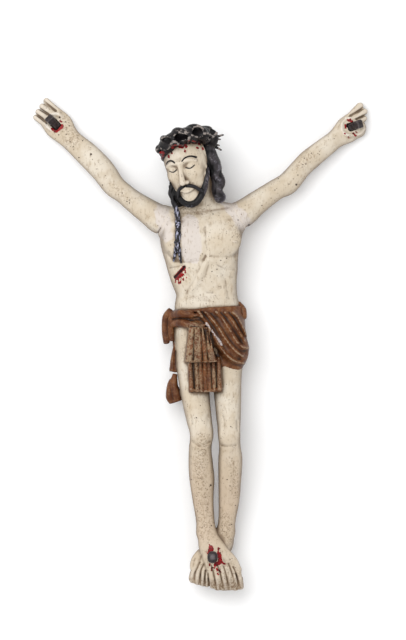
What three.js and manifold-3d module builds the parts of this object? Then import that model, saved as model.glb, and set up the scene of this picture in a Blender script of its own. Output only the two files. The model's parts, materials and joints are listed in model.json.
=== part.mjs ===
// Carved and painted wooden corpus from a crucifix, lying on its back: a body with head, loincloth
// and feet cut from one block, two arms glued on at the shoulders, and three forged iron nails.
// Millimetres. +X is the figure's left, +Y points to its head, +Z is its front, and it lies on z = 0.

import * as THREE from 'three';
import { mergeVertices } from 'three/addons/utils/BufferGeometryUtils.js';
import Module from 'manifold-3d';

// Driving dimensions

const FIGURE = 616; // height from the toes to the highest fingertip
const SQUARES_HIGH = 49.3; // squares of the carver's drawing in that height
const SQUARE = FIGURE / SQUARES_HIGH; // the forms below are all given in these squares
const SEAM = 0.3; // open glue line between an arm and the body
const NAIL_CLEARANCE = 0.3; // air round a nail in its hole
const HAND_NAIL_WIDTH = 10; // across the flats of the square bar
const HAND_NAIL_LENGTH = 28; // from the point in the palm to the head
const HAND_NAIL_BEVEL = 1.6; // hammered chamfer round its ends
const FOOT_NAIL_HEAD = 13; // diameter of the domed head
const FOOT_NAIL_OVAL = 1.15; // its length over its width
const FOOT_NAIL_RIM = 1; // thickness of its edge
const FOOT_NAIL_DOME = 5; // height of the dome over the shank
const FOOT_NAIL_SIDES = 14;
const FOOT_NAIL_ARC = 5; // steps of the dome
const FOOT_NAIL_SHANK = 6; // diameter of the shank
const FOOT_NAIL_LENGTH = 26; // shank below the head
const THORN = 3.6; // thickness of a loose thorn of the crown
const THORN_TIP = 0.4; // its tip as a share of that
const THORN_SIDES = 5;
const CELL = 1.8; // spacing of the grid that the forms are sampled on
const SHORT_EDGE = 1.26; // edges of the sampled surface below this are joined
const FACES = 8700; // faces of the wood in all
const EVENNESS = 2e-5; // how much long edges are kept out when faces are joined
const TURN_LIMIT = 0.3; // cosine of the sharpest turn a face may make when an edge is joined
const FLAT_LIMIT = 1e-5; // share below which three planes count as one
const FAR = 9; // distance, in squares, that stands for open air

// Smooth forms as distances, in squares, negative inside

function smoothMin(first, second, blend) {
  const overlap = Math.max(blend - Math.abs(first - second), 0) / blend;
  return Math.min(first, second) - overlap * overlap * blend / 4;
}

// Rows of numbers threaded with a Catmull-Rom spline
function threaded(rows, steps = 5) {
  const path = [];
  const row = (index) => rows[Math.min(Math.max(index, 0), rows.length - 1)];
  for (let index = 0; index < rows.length - 1; index++) {
    const [before, from, to, after] = [row(index - 1), row(index), row(index + 1), row(index + 2)];
    for (let step = 0; step < steps; step++) {
      const t = step / steps;
      path.push(from.map((value, k) => value + 0.5 * t * (to[k] - before[k]
        + t * (2 * before[k] - 5 * value + 4 * to[k] - after[k]
        + t * (3 * (value - to[k]) + after[k] - before[k])))));
    }
  }
  path.push(rows[rows.length - 1]);
  return path;
}

// A limb follows stations of x, y, z, half width across and half depth
function limb(stations, { power = 2, cap = 1, steps = 5 } = {}) {
  const path = threaded(stations, steps);
  const links = path.slice(1).map((end, index) => {
    const start = path[index];
    const along = [end[0] - start[0], end[1] - start[1], end[2] - start[2]];
    const length = Math.hypot(...along);
    const [tx, ty, tz] = along.map((value) => value / length);
    const flat = Math.hypot(tx, ty);
    const [ax, ay] = flat > 0.05 ? [ty / flat, -tx / flat] : [1, 0];
    return { start, end, length, tx, ty, tz, ax, ay, dx: ay * tz, dy: -ax * tz, dz: ax * ty - ay * tx };
  });
  const reach = Math.max(...path.map((row) => Math.max(row[3], row[4])));
  const low = [0, 1, 2].map((k) => Math.min(...path.map((row) => row[k])) - reach);
  const high = [0, 1, 2].map((k) => Math.max(...path.map((row) => row[k])) + reach);

  function distance(x, y, z) {
    let nearest = Infinity;
    let best = links[0];
    let share = 0;
    for (const link of links) {
      const px = x - link.start[0];
      const py = y - link.start[1];
      const pz = z - link.start[2];
      const t = (px * link.tx + py * link.ty + pz * link.tz) / link.length;
      const s = Math.min(Math.max(t, 0), 1) * link.length;
      const gap = (px - s * link.tx) ** 2 + (py - s * link.ty) ** 2 + (pz - s * link.tz) ** 2;
      if (gap < nearest) {
        nearest = gap;
        best = link;
        share = s / link.length;
      }
    }
    const at = (k) => best.start[k] + share * (best.end[k] - best.start[k]);
    const [px, py, pz] = [x - at(0), y - at(1), z - at(2)];
    const radii = [at(3), at(4), Math.min(at(3), at(4)) * cap];
    const parts = [
      px * best.ax + py * best.ay,
      px * best.dx + py * best.dy + pz * best.dz,
      px * best.tx + py * best.ty + pz * best.tz,
    ];
    return ovalDistance(parts, radii, power);
  }
  return { low, high, distance };
}

// Distance to an oval whose section is rounder at power 2 and squarer above it
function ovalDistance(parts, radii, power) {
  let sum = 0;
  let slope = 0;
  for (let k = 0; k < parts.length; k++) {
    const share = Math.abs(parts[k]) / radii[k];
    const term = power === 2 ? share : share ** (power - 1);
    sum += term * share;
    slope += (term / radii[k]) ** 2;
  }
  if (sum < 1e-6) return -Math.min(...radii);
  const size = sum ** (1 / power);
  return (size - 1) * size ** (power - 1) / Math.sqrt(slope);
}

function ball(centre, radii, power = 2) {
  const low = centre.map((value, k) => value - radii[k]);
  const high = centre.map((value, k) => value + radii[k]);
  const distance = (x, y, z) => ovalDistance([x - centre[0], y - centre[1], z - centre[2]], radii, power);
  return { low, high, distance };
}

// The same form placed by a turned frame, such as the head's
function posed(form, frame) {
  const back = frame.clone().invert().elements;
  const corners = new THREE.Box3(new THREE.Vector3(...form.low), new THREE.Vector3(...form.high));
  corners.applyMatrix4(frame);
  const distance = (x, y, z) => form.distance(
    back[0] * x + back[4] * y + back[8] * z + back[12],
    back[1] * x + back[5] * y + back[9] * z + back[13],
    back[2] * x + back[6] * y + back[10] * z + back[14],
  );
  return { low: corners.min.toArray(), high: corners.max.toArray(), distance };
}

// Clay: the forms joined on a grid of distances

class Clay {
  constructor(low, high, cell) {
    this.low = low;
    this.cell = cell;
    this.count = low.map((value, k) => Math.ceil((high[k] - value) / cell) + 1);
    this.values = new Float32Array(this.count[0] * this.count[1] * this.count[2]).fill(FAR);
  }

  change(low, high, margin, change) {
    const [nx, ny] = this.count;
    const first = low.map((value, k) => Math.max(Math.floor((value - margin - this.low[k]) / this.cell), 0));
    const last = high.map((value, k) => Math.min(
      Math.ceil((value + margin - this.low[k]) / this.cell), this.count[k] - 1));
    for (let k = first[2]; k <= last[2]; k++) {
      for (let j = first[1]; j <= last[1]; j++) {
        for (let i = first[0]; i <= last[0]; i++) {
          const node = i + nx * (j + ny * k);
          this.values[node] = change(this.values[node], this.low[0] + i * this.cell,
            this.low[1] + j * this.cell, this.low[2] + k * this.cell);
        }
      }
    }
  }

  add(form, blend = 0.1) {
    this.change(form.low, form.high, blend + 2 * this.cell,
      (value, x, y, z) => smoothMin(value, form.distance(x, y, z), blend));
  }

  carve(form, blend = 0.1) {
    this.change(form.low, form.high, blend + 2 * this.cell,
      (value, x, y, z) => -smoothMin(-value, form.distance(x, y, z), blend));
  }

  // A gouge line in the front, or a raised line where the depth is negative, fading in from behind
  stroke(points, width, depth, behind, fade = 0.6) {
    const line = threaded(points, 4);
    const reach = 2.5 * width;
    const low = [Math.min(...line.map((p) => p[0])) - reach, Math.min(...line.map((p) => p[1])) - reach, behind];
    const high = [Math.max(...line.map((p) => p[0])) + reach, Math.max(...line.map((p) => p[1])) + reach, FAR];
    this.change(low, high, 0, (value, x, y, z) => {
      const gap = lineDistance(line, x, y) / width;
      const front = Math.min(Math.max((z - behind) / fade, 0), 1);
      return value + depth * front * Math.exp(-gap * gap);
    });
  }

  // A layer of cloth laid over what is there, inside the region where edge is negative
  drape(low, high, thickness, edge) {
    this.change(low, high, 0, (value, x, y, z) => smoothMin(
      value, Math.max(value - thickness, edge(x, y, z)), 0.05));
  }

  // Height of the front surface above a place
  front(x, y) {
    const [nx, ny, nz] = this.count;
    const column = Math.round((x - this.low[0]) / this.cell) + nx * Math.round((y - this.low[1]) / this.cell);
    let k = nz - 1;
    while (k > 0 && this.values[column + nx * ny * k] >= 0) k--;
    return this.low[2] + k * this.cell;
  }

  // Evens the grid out along each axis, which rounds what is finer than a cell
  settle() {
    let step = 1;
    for (const count of this.count) {
      const old = this.values.slice();
      for (let node = step; node < old.length - step; node++) {
        this.values[node] = (old[node - step] + 2 * old[node] + old[node + step]) / 4;
      }
      step *= count;
    }
  }
}

function lineDistance(line, x, y) {
  let nearest = Infinity;
  for (let index = 1; index < line.length; index++) {
    const [ax, ay] = line[index - 1];
    const [bx, by] = [line[index][0] - ax, line[index][1] - ay];
    const t = Math.min(Math.max(((x - ax) * bx + (y - ay) * by) / (bx * bx + by * by), 0), 1);
    nearest = Math.min(nearest, Math.hypot(x - ax - t * bx, y - ay - t * by));
  }
  return nearest;
}

// Trunk, legs and feet, as x, y, z, half width, half depth

const TRUNK = [
  [0.0, 13.3, 2.6, 3.0, 1.8],
  [0.1, 12.1, 2.55, 4.1, 2.5],
  [0.0, 10.35, 2.55, 4.05, 2.8],
  [0.13, 8.55, 2.6, 3.68, 2.75],
  [0.35, 6.85, 2.6, 3.4, 2.45],
  [0.6, 5.15, 2.6, 3.05, 2.2],
  [0.65, 3.75, 2.55, 3.25, 2.25],
  [0.8, 1.85, 2.4, 3.45, 2.65],
  [0.87, -0.2, 2.4, 3.4, 2.65],
  [0.88, -1.3, 2.6, 3.1, 2.1],
];

const RIGHT_LEG = [
  [-0.75, 0.8, 2.8, 1.7, 1.9],
  [-0.8, -1.65, 2.9, 1.65, 1.8],
  [-0.66, -3.65, 3.15, 1.54, 1.65],
  [-0.45, -5.65, 3.55, 1.4, 1.55],
  [-0.13, -7.65, 4.1, 1.27, 1.45],
  [0.12, -9.05, 4.25, 1.13, 1.35],
  [-0.03, -10.45, 4.0, 1.13, 1.35],
  [0.03, -12.15, 3.5, 1.23, 1.45],
  [0.15, -13.65, 3.15, 1.25, 1.4],
  [0.25, -15.65, 2.85, 1.05, 1.15],
  [0.47, -17.65, 2.75, 0.93, 1.0],
  [0.55, -18.85, 2.8, 1.0, 1.05],
];

const LEFT_LEG = [
  [2.45, 0.8, 2.8, 1.7, 1.9],
  [2.6, -1.65, 2.85, 1.6, 1.8],
  [2.65, -3.65, 3.05, 1.45, 1.65],
  [2.73, -5.65, 3.4, 1.33, 1.5],
  [2.81, -7.65, 3.9, 1.21, 1.4],
  [2.85, -9.05, 4.05, 1.08, 1.3],
  [2.94, -10.45, 3.8, 1.09, 1.3],
  [2.98, -11.65, 3.4, 1.21, 1.4],
  [2.92, -13.65, 3.0, 1.14, 1.3],
  [2.85, -15.65, 2.6, 1.05, 1.1],
  [2.65, -17.65, 2.3, 0.87, 0.95],
  [2.51, -18.85, 2.1, 0.91, 0.95],
];

const RIGHT_FOOT = [
  [0.5, -18.2, 2.75, 0.7, 0.75],
  [0.95, -20.0, 3.15, 1.2, 0.95],
  [1.6, -21.3, 3.4, 1.45, 0.85],
  [2.15, -22.3, 3.4, 1.7, 0.65],
  [2.4, -23.0, 3.3, 1.75, 0.5],
];

const LEFT_FOOT = [
  [2.51, -18.85, 2.1, 0.9, 0.95],
  [2.4, -20.1, 1.9, 0.85, 1.1],
  [1.4, -21.0, 2.2, 1.3, 1.0],
  [0.35, -21.9, 2.6, 1.3, 0.8],
  [0.05, -22.6, 2.75, 1.15, 0.5],
];

// Toe tips from the figure's right to its left, as x, y, z and half width
const TOES = [
  [-0.85, -23.7, 2.45, 0.26],
  [-0.33, -23.85, 2.55, 0.28],
  [0.2, -24.0, 2.65, 0.26],
  [0.65, -24.15, 2.75, 0.23],
  [1.09, -24.25, 2.95, 0.24],
  [1.68, -24.35, 3.15, 0.34],
  [2.35, -24.4, 3.15, 0.3],
  [2.9, -24.4, 3.1, 0.26],
  [3.5, -24.4, 3.0, 0.29],
  [4.05, -24.35, 2.9, 0.27],
];
// Uncut wood that joins the toes, under the right foot's and under the left's
const TOE_WEBS = [
  [[-0.75, -23.25, 2.4, 0.5, 0.25], [1.0, -23.7, 2.75, 0.5, 0.25]],
  [[1.6, -23.85, 2.98, 0.5, 0.25], [3.85, -23.85, 2.8, 0.5, 0.25]],
];
const TOE_FAN = [1.5, -10]; // the toes point away from here
const TOE_LENGTH = 1.7;

function addToes(clay) {
  for (const [x, y, z, half] of TOES) {
    const spread = Math.hypot(x - TOE_FAN[0], y - TOE_FAN[1]);
    const rootX = x - (x - TOE_FAN[0]) / spread * TOE_LENGTH;
    const rootY = y - (y - TOE_FAN[1]) / spread * TOE_LENGTH;
    clay.add(limb([
      [rootX, rootY, z + 0.35, half, half],
      [(x + rootX) / 2, (y + rootY) / 2, z + 0.35, half, half],
      [x, y, z, half, half * 1.1],
    ]), 0.12);
  }
  for (const web of TOE_WEBS) clay.add(limb(web, { power: 4, steps: 1 }), 0.15);
}

function addTrunkAndLegs(clay) {
  clay.add(limb(TRUNK, { power: 2.5, cap: 0.5 }));
  clay.add(limb(RIGHT_LEG), 0.25);
  clay.add(limb(LEFT_LEG), 0.25);
  clay.add(ball([0.1, -9.1, 4.9], [0.8, 1.0, 0.6]), 0.9);
  clay.add(ball([2.87, -9.1, 4.7], [0.75, 0.95, 0.55]), 0.9);
  clay.add(limb(LEFT_FOOT), 0.3);
  clay.add(ball([2.45, -20.0, 1.0], [0.75, 1.1, 1.1]), 0.5);
  clay.add(ball([0.8, -19.4, 1.6], [0.85, 1.1, 1.4]), 0.5);
  clay.add(limb(RIGHT_FOOT), 0.3);
  addToes(clay);
}

// Chest and belly: the breast by middle and radii, then gouge lines with their width and depth for
// the breastbone, the lower edges of the breast, the rib arch raised, ribs, middle line, navel and belly

const BREAST = [
  [[-1.7, 10.4, 4.35], [1.9, 1.6, 1.0]],
  [[2.35, 10.4, 4.35], [1.7, 1.6, 1.0]],
];
const CHEST_LINES = [
  [[[0.55, 11.6], [0.6, 10], [0.55, 8.8]], 0.28, 0.22],
  [[[-3.2, 9.3], [-1.9, 8.75], [-0.2, 8.7]], 0.3, 0.15],
  [[[1.0, 8.8], [2.4, 8.75], [3.6, 9.2]], 0.3, 0.18],
  [[[0.4, 8.5], [-0.3, 7.3], [-0.8, 6.3], [-1.3, 5.4]], 0.35, -0.22],
  [[[1.2, 8.2], [1.95, 6.7], [2.5, 5.6], [2.75, 4.4]], 0.35, -0.22],
  [[[1.4, 7.95], [2.7, 7.4], [3.6, 7.3]], 0.24, 0.15],
  [[[1.9, 7.0], [2.9, 6.45], [3.5, 6.35]], 0.22, 0.1],
  [[[-3.1, 7.65], [-2.0, 7.75], [-0.6, 8.2]], 0.24, 0.15],
  [[[-2.8, 6.6], [-1.9, 6.7], [-0.9, 7.0]], 0.22, 0.1],
  [[[0.8, 8.1], [0.65, 6.6], [0.9, 5.4]], 0.3, 0.12],
  [[[0.85, 5.15], [1.15, 5.17]], 0.15, 0.2],
  [[[-0.7, 4.7], [-0.1, 4.35], [0.8, 4.4], [2.1, 4.5]], 0.3, 0.14],
];
const CHEST_BEHIND = 3.4; // height that the lines fade in from

function modelChest(clay) {
  for (const [centre, radii] of BREAST) clay.add(ball(centre, radii), 0.8);
  for (const [points, width, depth] of CHEST_LINES) clay.stroke(points, width, depth, CHEST_BEHIND);
}

// Arms and hands

const RIGHT_ARM = [
  [-2.2, 11.9, 2.7, 1.5, 1.9],
  [-4.0, 12.45, 2.6, 1.5, 1.6],
  [-4.85, 12.95, 2.5, 1.33, 1.4],
  [-6.65, 14.2, 2.3, 1.1, 1.2],
  [-7.7, 15.05, 2.15, 1.03, 1.1],
  [-8.7, 15.85, 2.0, 1.13, 1.05],
  [-9.8, 17.35, 1.8, 1.21, 1.1],
  [-11.3, 18.9, 1.6, 1.2, 1.05],
  [-13.0, 20.45, 1.1, 1.06, 0.85],
  [-14.15, 21.75, 0.75, 1.42, 0.8],
  [-15.0, 22.65, 0.72, 1.25, 0.65],
];

const LEFT_ARM = [
  [1.95, 11.9, 2.7, 1.5, 1.9],
  [4.15, 12.95, 2.6, 1.4, 1.6],
  [5.6, 14.05, 2.4, 1.2, 1.3],
  [7.55, 15.4, 2.2, 1.05, 1.15],
  [8.75, 16.05, 2.05, 1.12, 1.1],
  [9.95, 17.45, 1.9, 1.03, 1.05],
  [10.9, 18.4, 1.7, 1.05, 1.0],
  [12.6, 19.75, 1.5, 0.97, 0.85],
  [13.55, 20.5, 1.1, 0.94, 0.85],
  [14.65, 21.35, 0.75, 1.3, 0.8],
  [15.3, 22.0, 0.72, 1.2, 0.65],
];

// Fingers as root x, y, tip x, y and half width
const RIGHT_FINGERS = [
  [-14.35, 23.3, -15.45, 24.3, 0.31],
  [-14.9, 23.05, -15.85, 23.75, 0.3],
  [-15.3, 22.6, -16.25, 23.2, 0.3],
  [-15.6, 22.0, -16.5, 22.65, 0.28],
];
const LEFT_FINGERS = [
  [14.9, 22.65, 15.98, 23.8, 0.36],
  [15.5, 22.5, 16.42, 23.25, 0.32],
  [15.8, 22.1, 16.4, 22.55, 0.28],
];
const FINGER_DEPTH = 0.42;
const FINGER_BLEND = 0.2;
const FINGER_HEIGHT = 0.75; // middle of the fingers above the ground
const LEFT_THUMB = [[15.85, 21.55, 0.7], [0.75, 0.9, 0.6]]; // middle and radii of the ball of the thumb

function addFingers(clay, fingers) {
  for (const [rootX, rootY, tipX, tipY, half] of fingers) {
    clay.add(limb([
      [rootX, rootY, FINGER_HEIGHT, half, FINGER_DEPTH],
      [(rootX + tipX) / 2, (rootY + tipY) / 2, FINGER_HEIGHT + 0.1, half, FINGER_DEPTH],
      [tipX, tipY, FINGER_HEIGHT, half, FINGER_DEPTH],
    ]), FINGER_BLEND);
  }
}

function addArms(clay) {
  clay.add(limb(RIGHT_ARM), 0.5);
  clay.add(limb(LEFT_ARM), 0.5);
  clay.add(ball(...LEFT_THUMB), 0.3);
  addFingers(clay, RIGHT_FINGERS);
  addFingers(clay, LEFT_FINGERS);
}

// Head, in its own upright frame of x to its left, y up and z forward from the middle of the skull

const HEAD_PLACE = [-1.3, 18.0, 4.6];
const HEAD_NOD = 8;
const HEAD_TURN = -20;
const HEAD_LEAN = 13;
const HEAD_FRAME = new THREE.Matrix4().makeTranslation(...HEAD_PLACE)
  .multiply(new THREE.Matrix4().makeRotationZ(THREE.MathUtils.degToRad(HEAD_LEAN)))
  .multiply(new THREE.Matrix4().makeRotationY(THREE.MathUtils.degToRad(HEAD_TURN)))
  .multiply(new THREE.Matrix4().makeRotationX(THREE.MathUtils.degToRad(HEAD_NOD)));

// Middle and radii of each mass of the head
const SKULL = [[0, 0.4, -0.2], [2.25, 2.8, 2.5]];
const JAW = [[0, -1.1, 0.5], [1.85, 2.75, 1.85]];
const CHIN = [[0, -3.2, 1.35], [0.75, 0.6, 0.7]];
const CHEEK = [[1.15, -0.75, 1.45], [0.65, 0.55, 0.55]];
const SOCKET = [[0.92, 0.05, 2.55], [0.62, 0.36, 0.5]];
const EYEBALL = [[0.92, 0.0, 1.75], [0.52, 0.34, 0.45]];
const NOSTRIL = [[0.36, -1.5, 2.6], [0.24, 0.2, 0.3]];

const NECK = [[0.3, 13.0, 2.9, 1.5, 1.3], [0.3, 14.6, 3.4, 1.3, 1.2], [-0.2, 16.5, 4.2, 1.3, 1.2]];
const BROW = [[0, 0.5, 2.3, 0.2, 0.22], [0.8, 0.62, 2.2, 0.2, 0.2], [1.5, 0.35, 1.75, 0.18, 0.18]];
const NOSE = [[0, 0.4, 2.25, 0.24, 0.25], [0, -0.6, 2.6, 0.25, 0.3], [0, -1.4, 2.95, 0.32, 0.32]];
const UPPER_LIP = [[-0.7, -2.2, 2.1, 0.14, 0.14], [0, -2.1, 2.42, 0.16, 0.16], [0.7, -2.2, 2.1, 0.14, 0.14]];
const LOWER_LIP = [[-0.6, -2.3, 2.1, 0.14, 0.14], [0, -2.42, 2.38, 0.18, 0.16], [0.6, -2.3, 2.1, 0.14, 0.14]];
const BEARD = [
  [1.95, -0.6, 0.2, 0.3, 0.3],
  [1.75, -1.9, 0.95, 0.32, 0.3],
  [1.25, -3.0, 1.45, 0.34, 0.32],
  [0.55, -3.7, 1.75, 0.36, 0.34],
  [0, -3.85, 1.8, 0.36, 0.34],
];
const MOUSTACHE = [[0.2, -1.85, 2.5, 0.16, 0.16], [0.8, -2.1, 2.25, 0.18, 0.18], [1.3, -2.9, 1.65, 0.2, 0.2]];

// A row of numbers seen from one side or the other
const facing = (side, [x, ...rest]) => [side * x, ...rest];

function addHead(clay) {
  const add = (form, blend) => clay.add(posed(form, HEAD_FRAME), blend);
  const carve = (form, blend) => clay.carve(posed(form, HEAD_FRAME), blend);
  const mass = (side, [centre, radii]) => ball(facing(side, centre), radii);
  const strip = (side, rows) => limb(rows.map((row) => facing(side, row)));
  clay.add(limb(NECK), 0.5);
  add(ball(...SKULL), 0.4);
  add(ball(...JAW), 0.6);
  add(ball(...CHIN), 0.6);
  for (const side of [-1, 1]) {
    add(mass(side, CHEEK), 0.5);
    carve(mass(side, SOCKET), 0.35);
    add(mass(side, EYEBALL), 0.1);
    add(strip(side, BROW), 0.25);
    add(mass(side, NOSTRIL), 0.12);
    add(strip(side, BEARD), 0.12);
    add(strip(side, MOUSTACHE), 0.1);
  }
  add(limb(NOSE), 0.2);
  add(limb(UPPER_LIP), 0.1);
  add(limb(LOWER_LIP), 0.1);
}

// Hair: a cap behind the face, a wavy lock beside it and a twisted strand on the chest

const SIDE_LOCK = [
  [0.85, 19.7, 4.7, 0.55, 0.7],
  [1.15, 18.55, 5.1, 0.6, 0.7],
  [1.45, 17.75, 5.1, 0.68, 0.65],
  [1.5, 17.05, 5.0, 0.6, 0.6],
  [1.8, 16.2, 4.9, 0.66, 0.6],
  [1.7, 15.3, 4.85, 0.58, 0.6],
  [1.95, 14.6, 4.8, 0.6, 0.55],
];

// The strand's line from behind the jaw down the chest, then its two tips
const STRAND = [[-2.9, 15.7], [-2.95, 15.0], [-2.65, 14.1], [-2.35, 13.1], [-2.25, 12.1], [-2.25, 11.1], [-2.3, 10.1]];
const STRAND_TIPS = [[-2.7, 8.25], [-1.95, 8.1]];
const STRAND_RISE = 4.75; // height of its start, from which it drops onto the chest
const STRAND_TURNS = 3;
const STRAND_TWIST = 0.2;
const STRAND_HALF = 0.24;

function addHair(clay) {
  const add = (form, blend) => clay.add(posed(form, HEAD_FRAME), blend);
  add(ball([0, 0.35, -0.75], [2.45, 2.85, 2.3]), 0.3);
  add(ball([0.1, -1.8, -1.3], [2.1, 2.2, 1.4]), 0.4);
  clay.add(ball([-2.1, 15.3, 3.7], [0.75, 1.6, 0.9]), 0.3);
  clay.add(limb(SIDE_LOCK), 0.25);
  const chest = (x, y) => Math.max(clay.front(x, y), STRAND_RISE) + STRAND_HALF / 3;
  const laid = threaded(STRAND, 4).map(([x, y]) => [x, y, chest(x, y)]);
  const tips = STRAND_TIPS.map(([x, y]) => [x, y, chest(x, y)]);
  tips.forEach(([x, y, z], way) => {
    const path = laid.map(([laidX, laidY, laidZ], index) => {
      const turn = Math.PI * (way + 2 * STRAND_TURNS * index / laid.length);
      return [laidX + STRAND_TWIST * Math.cos(turn), laidY, laidZ + STRAND_TWIST / 2 * Math.sin(turn),
        STRAND_HALF, STRAND_HALF];
    });
    path.push([x, y + 0.7, z, STRAND_HALF, STRAND_HALF]);
    path.push([x, y, z, STRAND_HALF / 2, STRAND_HALF / 2]);
    clay.add(limb(path, { steps: 2 }), 0.08);
  });
}

// Crown: two stems wound round each other, with hollows gouged between them

const CROWN_PLACE = [0.52, 1.88, 0];
const CROWN_TILT = 11;
const CROWN_RISE = -30; // its front stands higher than its sides
const CROWN_RADII = [2.3, 2.4];
const CROWN_STEM = 0.4;
const CROWN_WINDING = 0.54;
const CROWN_CORE = 0.7;
const CROWN_TWISTS = 9;
const CROWN_STEPS = 84;
const CROWN_START = 0.94; // turn of the stems where the winding begins
const CROWN_FRAME = HEAD_FRAME.clone().multiply(new THREE.Matrix4().makeTranslation(...CROWN_PLACE))
  .multiply(new THREE.Matrix4().makeRotationZ(THREE.MathUtils.degToRad(CROWN_TILT)))
  .multiply(new THREE.Matrix4().makeRotationX(THREE.MathUtils.degToRad(CROWN_RISE)));

function crownStem(phase, winding, half) {
  const path = [];
  for (let step = 0; step <= CROWN_STEPS; step++) {
    const round = 2 * Math.PI * step / CROWN_STEPS;
    const twist = CROWN_TWISTS * round / 2 + phase;
    const out = winding * Math.cos(twist);
    path.push([
      (CROWN_RADII[0] + out) * Math.cos(round),
      winding * Math.sin(twist),
      (CROWN_RADII[1] + out) * Math.sin(round),
      half,
      half,
    ]);
  }
  return posed(limb(path, { steps: 1 }), CROWN_FRAME);
}

function addCrown(clay) {
  clay.add(crownStem(0, 0, CROWN_CORE), 0.1);
  clay.add(crownStem(CROWN_START, CROWN_WINDING, CROWN_STEM), 0.08);
  clay.add(crownStem(CROWN_START + Math.PI, CROWN_WINDING, CROWN_STEM), 0.08);
}

// Loincloth: a wrap round the hips, two rolls and a hanging bunch on its right, a swag on its left
// and a pleated end in two tiers in front

const WAIST = 3.5; // height of the wrap's upper edge in the middle
const WAIST_SLOPE = 0.07; // rise of that edge to the left
const WRAP_HEM = -0.6;
const WRAP_THICKNESS = 0.22;

// Masses of the swag, by middle and radii
const SWAG = [
  [[1.05, 2.55, 4.25], [1.3, 0.95, 0.85]],
  [[2.55, 1.5, 3.95], [1.85, 2.0, 1.4]],
  [[3.1, -0.6, 3.75], [1.75, 2.2, 1.6]],
];
const SWAG_BLEND = 0.5;

// Crests of the swag's folds, from the waist down over the hip
const SWAG_FOLDS = [
  [[-0.2, 3.2], [0.55, 2.15], [1.25, 1.05], [1.8, -0.1], [2.5, -1.0], [3.3, -1.7], [4.3, -2.0]],
  [[0.45, 3.15], [1.15, 2.45], [1.95, 1.35], [2.65, 0.25], [3.4, -0.65], [4.2, -1.25]],
  [[1.55, 3.15], [2.15, 2.55], [2.95, 1.35], [3.55, 0.3], [4.2, -0.35], [4.75, -0.45]],
  [[2.45, 3.1], [3.15, 2.35], [3.9, 1.1], [4.4, 0.3]],
  [[3.25, 3.1], [3.75, 2.6], [4.25, 1.6], [4.6, 0.8]],
];
const FOLD_WIDTH = 0.32;
const FOLD_HEIGHT = 0.32;
const FOLD_BEHIND = 3.4;
const FOLD_FADE = 1.1;
const FOLD_HOLLOW = [-0.36, -0.22]; // from each crest to the hollow beside it

const RIGHT_ROLLS = [
  [[-2.75, 2.8, 3.2], [-2.0, 2.95, 4.4], [-1.0, 2.9, 4.9], [0.0, 2.75, 5.15]],
  [[-2.75, 2.0, 3.2], [-2.0, 2.05, 4.5], [-1.0, 1.9, 4.95], [0.3, 1.8, 5.2]],
];
const ROLL_HALF = 0.4;

const RIGHT_BUNCH = [
  [[-3.0, 3.3, 3.0], [-3.5, 2.6, 2.9], [-3.55, 1.2, 2.8], [-3.4, 0.1, 2.8]],
  [[-2.8, 3.1, 3.2], [-2.95, 2.2, 3.2], [-2.95, 1.1, 3.1], [-2.85, 0.4, 3.0]],
];
const BUNCH_HALF = 0.33;

const RIGHT_TAILS = [
  [[-2.5, 0.1, 2.6, 0.15, 0.5], [-2.65, -1.4, 2.6, 0.32, 0.55], [-2.72, -2.75, 2.6, 0.42, 0.6]],
  [[-2.6, -3.1, 2.7, 0.28, 0.5], [-2.85, -4.2, 2.7, 0.52, 0.6], [-2.75, -5.2, 2.7, 0.74, 0.6], [-2.6, -5.75, 2.7, 0.62, 0.5]],
];

// Tiers of the hanging end: left and right edge, top, bottom, depth of the front, pleats
const TIERS = [
  { left: [-1.2, -1.6], right: [1.0, 1.7], top: 1.6, bottom: -1.75, front: 5.75, pleats: 7 },
  { left: [-1.25, -1.05], right: [2.0, 2.1], top: -1.4, bottom: -4.75, front: 5.5, pleats: 7 },
];
const PLEAT_DEPTH = 0.42;
const PLEAT_OVERLAP = 1.85; // how far a pleat is from the next, in its own half widths
const TIER_BACKING = 0.75;

const HIP_KNOT = [[3.9, 4.0, 2.9, 0.2, 0.4], [4.3, 3.4, 3.1, 0.28, 0.45], [4.35, 2.7, 3.2, 0.3, 0.45]];

const withHalf = (rows, half) => rows.map((row) => [...row, half, half]);

function addTier(clay, { left, right, top, bottom, front, pleats }) {
  for (let pleat = 0; pleat < pleats; pleat++) {
    const share = (pleat + 0.5) / pleats;
    const upperX = left[0] + share * (right[0] - left[0]);
    const lowerX = left[1] + share * (right[1] - left[1]);
    const half = (right[1] - left[1]) / pleats / PLEAT_OVERLAP;
    clay.add(limb([
      [upperX, top, front - PLEAT_DEPTH, half * 0.8, PLEAT_DEPTH],
      [(upperX + lowerX) / 2, (top + bottom) / 2, front - PLEAT_DEPTH, half, PLEAT_DEPTH],
      [lowerX, bottom, front - PLEAT_DEPTH, half, PLEAT_DEPTH],
    ], { cap: 0.4 }), 0.05);
  }
  const backing = [top, bottom].map((y, end) => [(left[end] + right[end]) / 2, y,
    front - PLEAT_DEPTH - TIER_BACKING, (right[end] - left[end]) / 2, TIER_BACKING]);
  clay.add(limb(backing, { power: 6, cap: 0.05, steps: 1 }), 0.1);
}

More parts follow.
